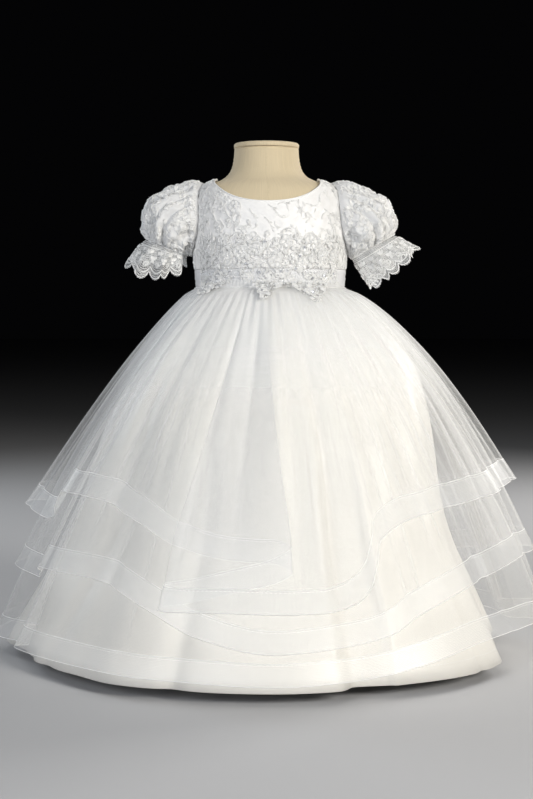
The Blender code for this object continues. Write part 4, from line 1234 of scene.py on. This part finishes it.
# Bodice
buttons = {
    "count": 4, "top": 0.494, "pitch": 0.023, "azimuth": 176.0, "radius": 0.0046, "height": 0.0028,
    "seat": 0.0003, "perDegree": 0.00114, "room": 0.0008, "sides": 28, "brim": 0.18,
    # the loops: half their turn in radians, thread, reach in degrees, half height, how far out
    "loopTurn": 1.25, "loopThread": 0.0006, "loopReach": 4.6, "loopHigh": 0.0052, "loopOut": 0.0012,
    "loopFrom": 3.6,
}
buttonDowns = [float(downAt(buttons["top"] - buttons["pitch"] * k)) for k in range(buttons["count"])]
bodice = {
    "seam": 0.12, "neckSide": 0.5162, "neckFront": 0.4908, "neckBack": 0.5040, "neckPower": 2.4,
    "underarm": 0.42, "shoulder": 0.16, "frontColumns": 72, "backColumns": 40, "rows": 50,
    "armholeCentre": 0.0960, "armholeHalfHeight": 0.0365, "armholeHalfAngle": 24.0,
    "margin": 0.0006, "ripple": 0.00035, "edgeCord": 0.0008, "stitch": (0.0022, 0.0015, 0.0003),
    "seamCloth": 0.02, "steps": (0.5, 0.0004), "soft": 0.006, "cut": 1.08,
    # room left clear of lace at the armhole and the back opening, in degrees, and under the neck
    "armholeRoom": 0.6, "openingRoom": 1.2, "neckRoom": 0.0022,
    "spacing": {"flower": 0.0240, "sprig": 0.0105, "bud": 0.0060, "vine": 0.0120},
    "sizes": {"flower": 0.0078, "sprig": 0.0150, "bud": 0.0056, "vine": 0.030},
    # the plainer part of the front: first and last azimuth, lowest height
    "quiet": (-22, 62, 0.4520),
}
waistDown = float(downAt(gown["bandTop"] + gown["seam"]))
shoulderDown = bodice["armholeCentre"] - bodice["armholeHalfHeight"]
underarmDown = bodice["armholeCentre"] + bodice["armholeHalfHeight"]
neckSideDown, neckFrontDown, neckBackDown = (
    float(downAt(bodice[key])) for key in ("neckSide", "neckFront", "neckBack"))


def neckline(azimuth, low):
    return low + (neckSideDown - low) * np.abs(np.sin(np.radians(azimuth))) ** bodice["neckPower"]


def sideEdge(v, sign):   # side seam up to the underarm, then half of the armhole
    straight = waistDown + (underarmDown - waistDown) * v / bodice["underarm"]
    rise = np.clip(2 * (v - bodice["underarm"]) / (1 - bodice["underarm"]) - 1, -1, 1)
    bow = bodice["armholeHalfAngle"] * (1 - rise * rise)
    low = v <= bodice["underarm"]
    return joined(90 + sign * (bodice["seam"] + np.where(low, 0, bow)),
                  np.where(low, straight, bodice["armholeCentre"] - bodice["armholeHalfHeight"] * rise))


def panelGrid(bottom, top, left, right, across):
    u = np.linspace(0, 1, across + 1)
    v = np.linspace(1, 0, bodice["rows"] + 1)
    pull = ease(v, bodice["underarm"], 1)[:, None, None]
    upright = (1 - pull) * bottom(u) + pull * top(u)
    part = u[None, :, None]
    level = (1 - part) * left(v)[:, None, :] + part * right(v)[:, None, :]
    first, last = ((1 - pull) * bottom(np.array([e])) + pull * top(np.array([e])) for e in (0.0, 1.0))
    return upright + level - (1 - part) * first - part * last


def frontGrid():
    edge, share = 90 - bodice["seam"], bodice["shoulder"]

    def top(u):
        azimuth = np.clip(-edge + 2 * edge * (u - share) / (1 - 2 * share), -edge, edge)
        rise = np.minimum(u, 1 - u) / share
        shoulder = shoulderDown + (neckSideDown - shoulderDown) * rise
        return joined(azimuth, np.where(rise < 1, shoulder, neckline(azimuth, neckFrontDown)))

    return panelGrid(lambda u: joined(-edge + 2 * edge * u, waistDown), top,
                     lambda v: sideEdge(v, -1) * [-1, 1], lambda v: sideEdge(v, -1),
                     bodice["frontColumns"])


def backGrid():
    edge, turn, share = 90 + bodice["seam"], 90 - 2 * bodice["seam"], 2 * bodice["shoulder"]

    def top(u):
        azimuth = edge + turn * np.clip((u - share) / (1 - share), 0, 1)
        shoulder = shoulderDown + (neckSideDown - shoulderDown) * u / share
        return joined(azimuth, np.where(u < share, shoulder, neckline(azimuth, neckBackDown)))

    return panelGrid(lambda u: joined(edge + turn * u, waistDown), top, lambda v: sideEdge(v, 1),
                     lambda v: joined(edge + turn, waistDown + (neckBackDown - waistDown) * v),
                     bodice["backColumns"])


def onBodice(azimuth, down, out=0.0):   # the outside of the bodice's cloth
    return onTorso(azimuth, down, np.asarray(out) + gown["clearance"] + gown["bodiceWall"])


def longest(points):   # of a grid's rows, and of its columns
    return float(stepLengths(points, 1).sum(1).max()), float(stepLengths(points).sum(0).max())


def insideBodice(front, side=1):
    def inside(azimuth, down):
        around = np.abs(azimuth) if front else side * azimuth
        neck = neckline(azimuth, neckFrontDown if front else neckBackDown)
        rise = np.clip((bodice["armholeCentre"] - down) / bodice["armholeHalfHeight"], -1, 1)
        bow = bodice["armholeHalfAngle"] * (1 - rise * rise)
        room = bodice["armholeRoom"]
        if front:
            clear = around < 90 - bow - room
        else:
            clear = (around > 90 + bow + room) & (around < 180 - bodice["openingRoom"])
        if side > 0 and not front:
            across = (azimuth - buttons["azimuth"]) * buttons["perDegree"]
            for button in buttonDowns:
                clear = clear & (np.hypot(across, down - button) > buttons["radius"] + buttons["room"])
        clear = clear & (down < waistDown - bodice["margin"]) & (down > neck + bodice["neckRoom"])
        return clear & (down > np.where(around > 72, neckSideDown + 0.003, 0))   # and off the shoulder
    return inside


def buildPanel(name, grid, node, front, side, seed, box):
    wall = gown["bodiceWall"]
    azimuth, down = grid[..., 0], grid[..., 1]
    # two sets of slanting ripples
    wave = np.sin(azimuth * 0.61 + down * 310) + np.sin(azimuth * 0.37 - down * 420 + seed)
    u, v = (np.linspace(0, 1, count) for count in grid.shape[1::-1])
    edge = np.minimum(np.minimum(u, 1 - u)[None, :], np.minimum(v, 1 - v)[:, None])
    ripple = bodice["ripple"] * wave * np.clip(edge * 12, 0, 1)   # none at the edges
    points = onTorso(azimuth, down, gown["clearance"] + wall / 2 + ripple)
    panel, cloth = cutCloth(name, points, "lace", wall)
    width, length = longest(points)
    first, last, low = bodice["quiet"]

    def quiet(azimuth, down):
        soft = bodice["soft"] * np.sin(azimuth * 0.21)
        return (azimuth > first) & (azimuth < last) & (down < downAt(low) + soft)

    inside = insideBodice(front, side)
    sewn = buildLace(f"{name}Lace", onBodice, box, inside, bodice["steps"], seed, bodice, quiet)
    dress(panel, "lace", node)


def buildBodice():
    front, back = frontGrid(), backGrid()
    buildPanel("bodiceFront", front, "bodice_front", True, 1, 11, (-90, 90, 0.03, waistDown))
    buildPanel("bodiceBackRight", back, "bodice_back_right", False, 1, 23, (90, 180, 0.03, waistDown))
    left = back[:, ::-1] * [-1, 1]
    buildPanel("bodiceBackLeft", left, "bodice_back_left", False, -1, 37, (-180, -90, 0.03, waistDown))
    # a fine corded edge round the neck, and the seams
    turn = np.linspace(-89.8, 89.8, 120)
    neckLine = [onBodice(turn, neckline(turn, neckFrontDown) + bodice["margin"])]
    for side in (1, -1):
        turn = np.linspace(90.3, 179.6, 60) * side
        neckLine.append(onBodice(turn, neckline(turn, neckBackDown) + bodice["margin"]))
    cords("neckEdge", [(line, bodice["edgeCord"]) for line in neckLine], sides=8)
    sideSeam = np.linspace(underarmDown + 0.001, waistDown - 0.0005, 20)
    shoulderSeam = np.linspace(neckSideDown + 0.001, shoulderDown - 0.001, 12)
    seams = [onBodice(90.0 * side, seam, 0.0001)
             for side in (1, -1) for seam in (sideSeam, shoulderSeam)]
    stitches("bodiceSeams", seams, *bodice["stitch"])


band = {
    "columns": 160, "rows": 8, "tuck": 0.0007, "tucks": 3, "piping": 0.0006, "wall": 0.0010,
    "flat": (0.50, 0.024), "cut": 1.1, "above": 2.5 * gown["seam"],
    "sway": 0.12, "swayWaves": [(3.1, math.radians(40), 1)],
}


def buildWaistband():
    first = bodice["seam"] - 180
    azimuth = np.linspace(first, -first, band["columns"] + 1)[None, :]
    top, bottom = downAt(gown["bandTop"]), downAt(gown["waistZ"] + band["above"])
    share = np.linspace(0, 1, band["rows"] + 1)[:, None]
    wave = band["sway"] * waves(azimuth, band["swayWaves"])
    tucks = np.abs(np.sin(np.pi * (share * band["tucks"] + wave)))
    tucks = band["tuck"] * tucks * np.sin(np.pi * share) ** 0.5
    out = gown["clearance"] + gown["bodiceWall"] / 2
    points = onTorso(azimuth, top + (bottom - top) * share, out + tucks)
    made, cloth = cutCloth("waistbandCloth", points, "band", band["wall"])
    seam = onTorso(np.linspace(first, -first, 260), downAt(gown["waistZ"] + gown["seam"]), bodiceOut)
    piping = cords("waistSeam", [(seam, band["piping"])], "satin", 8)
    dress(made, "satin", "waistband")


def buildButtons():
    azimuth, radius, height = (buttons[key] for key in ("azimuth", "radius", "height"))
    seat = bodiceOut + buttons["seat"]
    profile = [(0.0003, height)]
    for step in range(1, 9):
        turn = math.radians(90 * step / 8)
        crown = buttons["brim"] + (1 - buttons["brim"]) * math.cos(turn)
        profile.append((radius * math.sin(turn), height * crown))
    profile += [(radius * 0.92, 0.0002), (radius * 0.80, 0.0)]
    turn = np.linspace(-buttons["loopTurn"], buttons["loopTurn"], 14)
    loops = []
    for k, down in enumerate(buttonDowns):
        foot = onTorso(azimuth, down, seat)
        normal = Vector(onTorso(azimuth, down, 2 * seat) - foot).normalized()
        upright = np.array(normal.to_track_quat("Z", "Y").to_matrix())
        grid = latheGrid(profile, buttons["sides"]) @ upright.T + foot
        made = closeEnds(gridMesh(f"coveredButton{k + 1}", grid, "buttonSatin", closed=True))
        dress(made, "satin", f"button_{k + 1}")
        around = azimuth + buttons["loopFrom"] - np.cos(turn) * buttons["loopReach"]
        loop = onBodice(around, down + np.sin(turn) * buttons["loopHigh"], buttons["loopOut"])
        loops.append((loop, buttons["loopThread"]))
    cords("buttonLoops", loops)
    print("buttons built")


# Sleeves. Each row is a section down the sleeve: how far out and how high its upper end lies,
# the same for its lower end, half its depth, its gathers. The flounce goes on from the puff's last row.
sectionUnits = (10000,) * 6
sleeves = {
    "right": {
        "side": 1, "tip": 8,
        "puff": measured(sectionUnits, [
            (900, 5150, 868, 4362, 345, 6), (1060, 5090, 875, 4356, 395, 14),
            (1225, 4980, 882, 4350, 400, 19), (1330, 4850, 889, 4344, 385, 20),
            (1375, 4700, 895, 4338, 335, 17), (1353, 4574, 902, 4332, 270, 13),
        ]),
        "flounce": measured(sectionUnits, [
            (1450, 4530, 985, 4200, 335, 24), (1565, 4475, 1085, 4070, 400, 40),
        ]),
    },
    "left": {
        "side": -1, "tip": 25,
        "puff": measured(sectionUnits, [
            (940, 5155, 868, 4385, 345, 6), (1130, 5095, 885, 4380, 395, 14),
            (1290, 4970, 898, 4376, 400, 19), (1385, 4805, 910, 4372, 380, 20),
            (1398, 4645, 922, 4368, 330, 17), (1353, 4530, 935, 4365, 265, 13),
        ]),
        "flounce": measured(sectionUnits, [
            (1455, 4440, 942, 4350, 330, 24), (1550, 4335, 950, 4310, 390, 40),
        ]),
    },
}
sleevePiece = {
    "columns": 170, "rows": 36, "puffGathers": 11, "flounceWaves": 8, "seatInset": -0.0010,
    "frill": 0.0009, "steps": (0.4, 0.004), "bulge": 0.0022, "from": -0.2, "seam": 0.01,
    "scallops": 14, "scallopDepth": 0.0062, "drop": 0.0009, "wall": 0.0007, "gather": 0.0004,
    # angle, first and last share of the length, half width in degrees, depth
    "creases": measured((1, 100, 100, 10, 10000), [
        (8, -20, 46, 75, 48), (33, -20, 60, 85, 62), (55, -10, 42, 60, 40), (77, -20, 70, 95, 66),
        (101, 5, 55, 65, 44), (122, -20, 45, 75, 48), (148, -20, 60, 75, 44), (190, -20, 50, 80, 40),
        (231, -20, 50, 70, 44), (262, -10, 62, 75, 50), (293, -20, 45, 65, 42), (327, -20, 60, 75, 52),
        (20, 52, 100, 65, 44), (44, 40, 100, 75, 52), (65, 56, 100, 55, 36), (89, 45, 100, 75, 52),
        (111, 50, 100, 60, 42), (135, 42, 100, 70, 46), (165, 55, 100, 65, 34), (210, 50, 100, 70, 38),
        (246, 55, 100, 65, 42), (278, 45, 100, 70, 46), (308, 55, 100, 65, 42), (344, 50, 100, 70, 44),
    ]),
    # how far each of those wanders round the sleeve along its length, in degrees, and how soon it fades
    "slant": (16, -12, 9), "creaseIn": 0.2, "creaseOut": 0.25,
    "lumps": 0.0007, "cut": 1.1,
    "spacing": {"flower": 0.0230, "sprig": 0.0100, "bud": 0.0058, "vine": 0.0140},
    "sizes": {"flower": 0.0080, "sprig": 0.0150, "bud": 0.0054, "vine": 0.028},
}


def sectionAt(rows, along):
    places = np.linspace(0, 1, len(rows))
    return [smoothCurve(places, [row[k] for row in rows])(along) for k in range(6)]


def sleeveCreases(angle, along):
    depth = 0.0
    for k, (middle, first, last, width, deep) in enumerate(sleevePiece["creases"]):
        slant = sleevePiece["slant"][k % 3] * (along - (first + last) / 2)
        away = turned(angle - middle - slant)
        fadeIn = 1.0 if first <= 0 else ease(along, first, first + sleevePiece["creaseIn"])
        fadeOut = 1.0 if last == 1 else 1 - ease(along, last - sleevePiece["creaseOut"], last)
        depth = depth + deep * np.exp(-(away / width) ** 2) * fadeIn * fadeOut
    return depth


def aroundSleeve(rows, angle, along, side, waves, tip, hang=0.0, extra=0.0):
    topX, topZ, lowX, lowZ, halfDepth, gather = sectionAt(rows, along)
    turn = np.radians(angle)
    acrossX, acrossZ = (topX - lowX) / 2, (topZ - lowZ) / 2
    half = np.hypot(acrossX, acrossZ)
    unitX, unitZ = acrossX / half, acrossZ / half
    wave = gather * np.sin(waves * turn) + extra
    reach = (half + wave) * np.cos(turn)
    x = (topX + lowX) / 2 + unitX * reach + unitZ * hang
    z = (topZ + lowZ) / 2 + unitZ * reach - unitX * hang
    forward = (halfDepth + wave) * np.sin(turn)
    lean = np.maximum(forward, 0) * np.sin(np.radians(tip) * np.ones_like(along))
    return joined(side * x, -forward, z - lean)


def puffPlace(shape):   # from -0.2 to 0 it leads out from the armhole, then 1 is the gathered end
    def surface(angle, along):
        angle, along = alike(angle, along)
        fade = ease(along, -0.21, -0.04)
        turn = np.radians(angle)
        # lumps of three sizes, none of them in step with another, and a frill at each end
        large = 2.2 * np.sin(7 * turn + along * 7) * np.sin(along * 11 + 3 * turn)
        small = np.sin(17 * turn + along * 9) * np.sin(along * 21 + angle * 0.05)
        lumps = sleevePiece["lumps"] * (large + small + 0.5 * np.sin(29 * turn - along * 16))
        upper, lower = (sleevePiece["frill"] * np.sin(count * turn + 2 * np.sin(drift * turn))
                        for count, drift in ((37, 3), (41, 4)))
        frill = upper * (1 - ease(along, -0.05, 0.30)) + lower * ease(along, 0.72, 0.97)
        extra = fade * (lumps + frill - sleeveCreases(angle, along))
        puff = aroundSleeve(shape["puff"], angle, np.clip(along, 0, 1), shape["side"],
                            sleevePiece["puffGathers"], 0.0, 0.0, extra)
        part = np.clip(1 - along / sleevePiece["from"], 0, 1)[..., None]
        root = armhole(angle, shape["side"], sleevePiece["seatInset"], trimOut + 0.0004)
        bulge = joined(0, -np.sin(turn), np.cos(turn))
        return puff * part + root * (1 - part) + bulge * sleevePiece["bulge"] * np.sin(np.pi * part)
    return surface


def signedLift(surface, stepA, stepB, sign, wall=0.0):   # out is measured from the wall's outside
    raised = lifted(surface, stepA, stepB)

    def place(a, b, out=0.0):
        return raised(a, b, sign * (np.asarray(out, float) + wall))
    return place


def armhole(angle, side, inset, out):
    turn = np.radians(angle)
    halfHeight = bodice["armholeHalfHeight"] - inset
    halfAngle = bodice["armholeHalfAngle"] * (1 - inset / 0.025)
    down = bodice["armholeCentre"] - halfHeight * np.cos(turn)
    return onTorso(side * (90 - halfAngle * np.sin(turn)), down, out)


def roundSleeve(count, side):   # so that each sleeve's faces look outwards
    return roundTurn(count)[::-side]


def buildSleeve(name, seed):
    shape, label = sleeves[name], name.capitalize()
    side = shape["side"]
    surface = puffPlace(shape)
    place = signedLift(surface, *sleevePiece["steps"], -side, sleevePiece["wall"] / 2)
    angles = roundSleeve(sleevePiece["columns"], side)
    along = np.linspace(sleevePiece["from"], 1, sleevePiece["rows"] + 1)
    puff = surface(angles[None, :], along[:, None])
    root = armhole(angles, side, sleevePiece["seatInset"], trimOut)
    points = np.concatenate([root[None, :], puff])
    made, cloth = cutCloth(f"sleeve{label}", points, "sleeveNet", sleevePiece["wall"], True)

    def inside(angle, along):
        return (along > -0.16) & (along < 0.985) & (angle > -20) & (angle < 380)

    box = (0, 360, -0.15, 1.0)
    sewn = buildLace(f"sleeve{label}Lace", place, box, inside, sleevePiece["steps"], seed, sleevePiece)
    line = place(angles, 0.992, 0.0002)
    gather = cords(f"sleeve{label}Gather", [(line, sleevePiece["gather"])], closed=[True])
    dress(made, "lace", f"sleeve_{name}")
    ring, length = longest(puff)
    buildCuff(name)


cuffPiece = {
    "columns": 14 * 20, "rows": 22, "edgeCord": 0.00055, "innerCord": 0.00042,
    # the edging's lines: share of the depth, lift, cord
    "lines": [(1.0, 0.0, "edgeCord"), (0.86, 0.0001, "innerCord"), (0.20, 0.0002, "innerCord")],
    "ringAt": 0.66, "ring": 0.0027, "smallRing": 0.0014, "picot": 0.00026, "picots": 6, "stems": 0.00035,
    "picotFrom": 0.14, "picotSize": 0.05, "picotAt": 1.045,
    "leavesAt": 0.36, "valleysAt": 0.60, "steps": (0.3, 0.01), "seam": 0.004,
    # the leaves under a ring, then between two: start, angle, length, width, bend, and if it has a vein
    "topLeaves": [(0.0006, math.pi + lean, 0.0050, 0.0026, 0.2 * lean, lean == 0) for lean in (-1, 0, 1)],
    "valleyLeaves": [(0, math.pi - 0.5, 0.0052, 0.0024, 0.2, False),
                     (0, math.pi + 0.5, 0.0052, 0.0024, -0.2, False),
                     (0.0002, 0.0, 0.0036, 0.0022, 0.0, False)],
}


def cuffPlace(shape):
    count, depth = sleevePiece["scallops"], sleevePiece["scallopDepth"]
    rows = [shape["puff"][-1], *shape["flounce"]]

    def surface(angle, along):
        lobe = np.abs(np.sin(np.radians(angle) * count / 2)) ** 0.75
        share = np.minimum(along, 1)
        over = np.maximum(along - 1, 0) * 0.016
        hang = depth * lobe * ease(share, 0.25, 1.05) * 1.02 + sleevePiece["drop"] * (1 - share) + over
        return aroundSleeve(rows, angle, share, shape["side"], sleevePiece["flounceWaves"],
                            shape["tip"] * share, hang)
    return surface


def buildCuff(name):
    shape = sleeves[name]
    side, label = shape["side"], name.capitalize()
    surface = cuffPlace(shape)
    place = signedLift(surface, *cuffPiece["steps"], -side)
    angles = roundSleeve(cuffPiece["columns"], side)
    along = np.linspace(0, 1, cuffPiece["rows"] + 1)
    points = surface(angles[None, :], along[:, None])
    ground, cloth = cutCloth(f"cuff{label}", points, "laceNet", closed=True)
    count = sleevePiece["scallops"]
    pitch = 360 / count
    bag = newBag()

    def ends(turn, *radii):
        return np.array([[math.sin(turn) * r, math.cos(turn) * r] for r in radii])

    middles = pitch * (np.arange(count) + 0.5)
    rings, tops, valleys = (
        [wrapAt(spot, 0.0) for spot in spotsAt(place, turn, cuffPiece[key], cuffPiece["steps"])]
        for turn, key in ((middles, "ringAt"), (middles, "leavesAt"),
                          (middles - pitch / 2, "valleysAt")))
    stems, large, small = (cuffPiece[key] for key in ("stems", "ring", "smallRing"))
    turn = np.arange(8) * math.pi / 4
    for k, (wrap, top, valley) in enumerate(zip(rings, tops, valleys)):
        addRing(bag, wrap, (0, 0), large, cuffPiece["innerCord"], 0.4, 16)
        addRing(bag, wrap, (0, 0), small, stems, 0.6, 10)
        for angle in turn:
            draw(bag, wrap(ends(angle, small, large)), stems, 0.4)
        for spot, leaves in ((top, "topLeaves"), (valley, "valleyLeaves")):
            for start, angle, length, width, bend, vein in cuffPiece[leaves]:
                addLeaf(bag, spot, (0, start), angle, length, width, bend=bend, vein=vein)
        for j in range(cuffPiece["picots"]):
            first, size = cuffPiece["picotFrom"], cuffPiece["picotSize"]
            at = pitch * (k + first + (1 - 2 * first) * j / (cuffPiece["picots"] - 1))
            picot = joined(at + np.sin(turn) * pitch * size, cuffPiece["picotAt"] + size * np.cos(turn))
            draw(bag, picot, cuffPiece["picot"], 0, True)

    def inside(angle, along):
        return (along > -0.01) & (along < 1.2) & (angle > -400)

    sewn = sewnOn(f"cuff{label}Lace", bag, place, inside)
    lines = [(place(angles, share, lift), cuffPiece[cord]) for share, lift, cord in cuffPiece["lines"]]
    edging = cords(f"cuff{label}Edging", lines, sides=4, closed=[True] * len(lines))
    dress(ground, "net", f"cuff_{name}_front", f"cuff_{name}_back")
    ring, length = longest(points)[0], float(stepLengths(points).sum(0).mean())


# Beaded lace at the waist
applique = {
    "edge": measured((1, 10000), [
        (-64, 3985), (-55, 3950), (-45, 4010), (-35, 4085), (-21, 4085), (-13, 4030), (-8, 3900),
        (-4, 3850), (1, 3930), (8, 4000), (18, 4010), (24, 3950), (31, 3870), (38, 3940), (48, 4030),
        (60, 4080),
    ]),
    "top": 0.4360, "topWave": 0.0050, "topFolds": 9, "lift": 0.0004, "spread": 0.007,
    "highest": 0.4560, "box": (-0.4520, -0.3850), "pointBead": 0.0022, "flat": (0.19, 0.055),
    "lapDepth": 0.0036, "lapSides": (-23, -15, 10, 29), "columns": 150, "rows": 26,
    "spacing": {"flower": 0.0190, "sprig": 0.0085, "bud": 0.0052, "vine": 0.0120},
    "sizes": {"flower": 0.0072, "sprig": 0.0110, "bud": 0.0050, "vine": 0.020},
    # azimuth and height of each cut stone, and its width
    "stones": measured((10, 10000, 10000), [
        (-310, 4170, 34), (-75, 4160, 40), (80, 4170, 36), (190, 4195, 34), (220, 4330, 32),
        (255, 4420, 36), (-40, 4480, 36), (325, 3930, 36), (-60, 3915, 30), (-430, 4090, 30),
        (330, 4100, 28), (440, 4130, 30), (-180, 4250, 28), (-550, 4045, 28), (540, 4150, 28),
    ]),
    "stoneLift": (0.0012, 0.003),
    "pearls": 420, "pearl": (0.0009, 0.0016),
    # azimuth and height of the flowers that make the edge's points, and their size
    "points": measured((1, 10000, 10000), [
        (-52, 4005, 66), (-5, 3915, 70), (31, 3935, 72), (-40, 4080, 58), (14, 4065, 62),
        (46, 4095, 60), (-17, 4110, 60),
    ]),
    "edgeRoom": (0.001, 0.004), "pointRoom": 0.004, "edgeLine": 0.0026,
    "edgePearls": 90, "pearlPitch": 0.0030, "inset": 0.0022, "overhang": 0.0045, "edgeCord": 0.0004,
}
appliqueEdge = tableCurve(applique["edge"], 1)


def netSkin(azimuth, share):
    share = np.maximum(share, 0)
    return polar(netRadius(azimuth, share, 0), azimuth, heightAt(share))


onNet = lifted(netSkin, 0.5, 0.003)


def appliqueSkin(azimuth, height):
    azimuth, height = alike(azimuth, height)
    onBody = onTorso(azimuth, downAt(height), trimOut + applique["lift"] / 2)
    lap = applique["lapDepth"] * hill(azimuth, *applique["lapSides"])
    over = 0.0005 + gown["seam"] + gown["laceWall"] / 2 + applique["lift"] + lap
    onSkirt = onNet(azimuth, np.maximum(shareAt(height), 0.0), over)
    seat = onTorso(azimuth, downAt(gown["waistZ"]), trimOut)
    blend = 1 - ease(height, gown["waistZ"], gown["waistZ"] + applique["spread"])
    above = onBody + (onSkirt - seat) * blend[..., None]
    return np.where((height < gown["waistZ"])[..., None], onSkirt, above)


onApplique = lifted(appliqueSkin, 0.5, 0.0005)


def appliquePlace(azimuth, fall, out=0.0):   # fall is measured down, as on the other panels
    return onApplique(azimuth, -np.asarray(fall, float), -np.asarray(out, float))


def buildApplique():
    first, last = applique["edge"][0][0], applique["edge"][-1][0]
    azimuth = np.linspace(first, last, applique["columns"] + 1)[None, :]
    top = applique["top"] + applique["topWave"] * np.sin(np.radians(azimuth * applique["topFolds"]))
    share = np.linspace(0, 1, applique["rows"] + 1)[:, None]
    points = appliqueSkin(azimuth, top + (appliqueEdge(azimuth) + applique["inset"] - top) * share)
    ground, cloth = cutCloth("waistLace", points, "laceBase")

    def inside(azimuth, fall):
        low = appliqueEdge(azimuth) - applique["overhang"]
        return (azimuth > first) & (azimuth < last) & (-fall > low) & (-fall < applique["highest"])

    dice = np.random.default_rng(71)
    bag, box, steps = newBag(), (first, last, *applique["box"]), bodice["steps"]
    tips = np.array(applique["points"])
    spots = spotsAt(appliquePlace, tips[:, 0], -tips[:, 1], steps)
    for spot, size in zip(spots, tips[:, 2]):
        addFlower(bag, wrapAt(spot, dice.uniform(0, 6.28)), size, dice)
        bag["beads"].append((spot[:2], applique["pointBead"]))
    fillLace(bag, appliquePlace, box, inside, steps, dice, applique["spacing"], applique["sizes"],
             [(spot[4], applique["pointRoom"]) for spot in spots])
    for azimuth in np.linspace(first + 1, last - 1, applique["edgePearls"]):
        at = float(azimuth), -float(appliqueEdge(azimuth)) - dice.uniform(*applique["edgeRoom"])
        bag["beads"].append((at, dice.uniform(*applique["pearl"])))
    pearls = scatter(appliquePlace, box, inside, applique["pearlPitch"], dice, steps)
    for spot in pearls[:applique["pearls"]]:
        bag["beads"].append((spot[:2], dice.uniform(*applique["pearl"])))
    edgeLine = np.linspace(first + 1, last - 1, 130)
    draw(bag, joined(edgeLine, -appliqueEdge(edgeLine) - applique["edgeLine"]), applique["edgeCord"], 0.6)
    sewn = sewnOn("waistLace", bag, appliquePlace, inside)
    spots = np.array(applique["stones"]) * [1, -1, 1]
    stones = setOnCloth("waistStones", "stone", appliquePlace, spots, applique["stoneLift"], "gem", False)
    dress(ground, "net", "waist_applique")


buildStudio()
buildForm()
buildSatin()
for index in range(3):
    buildTier(index)
buildBodice()
buildWaistband()
buildButtons()
buildSleeve("left", 101)
buildSleeve("right", 151)
buildApplique()
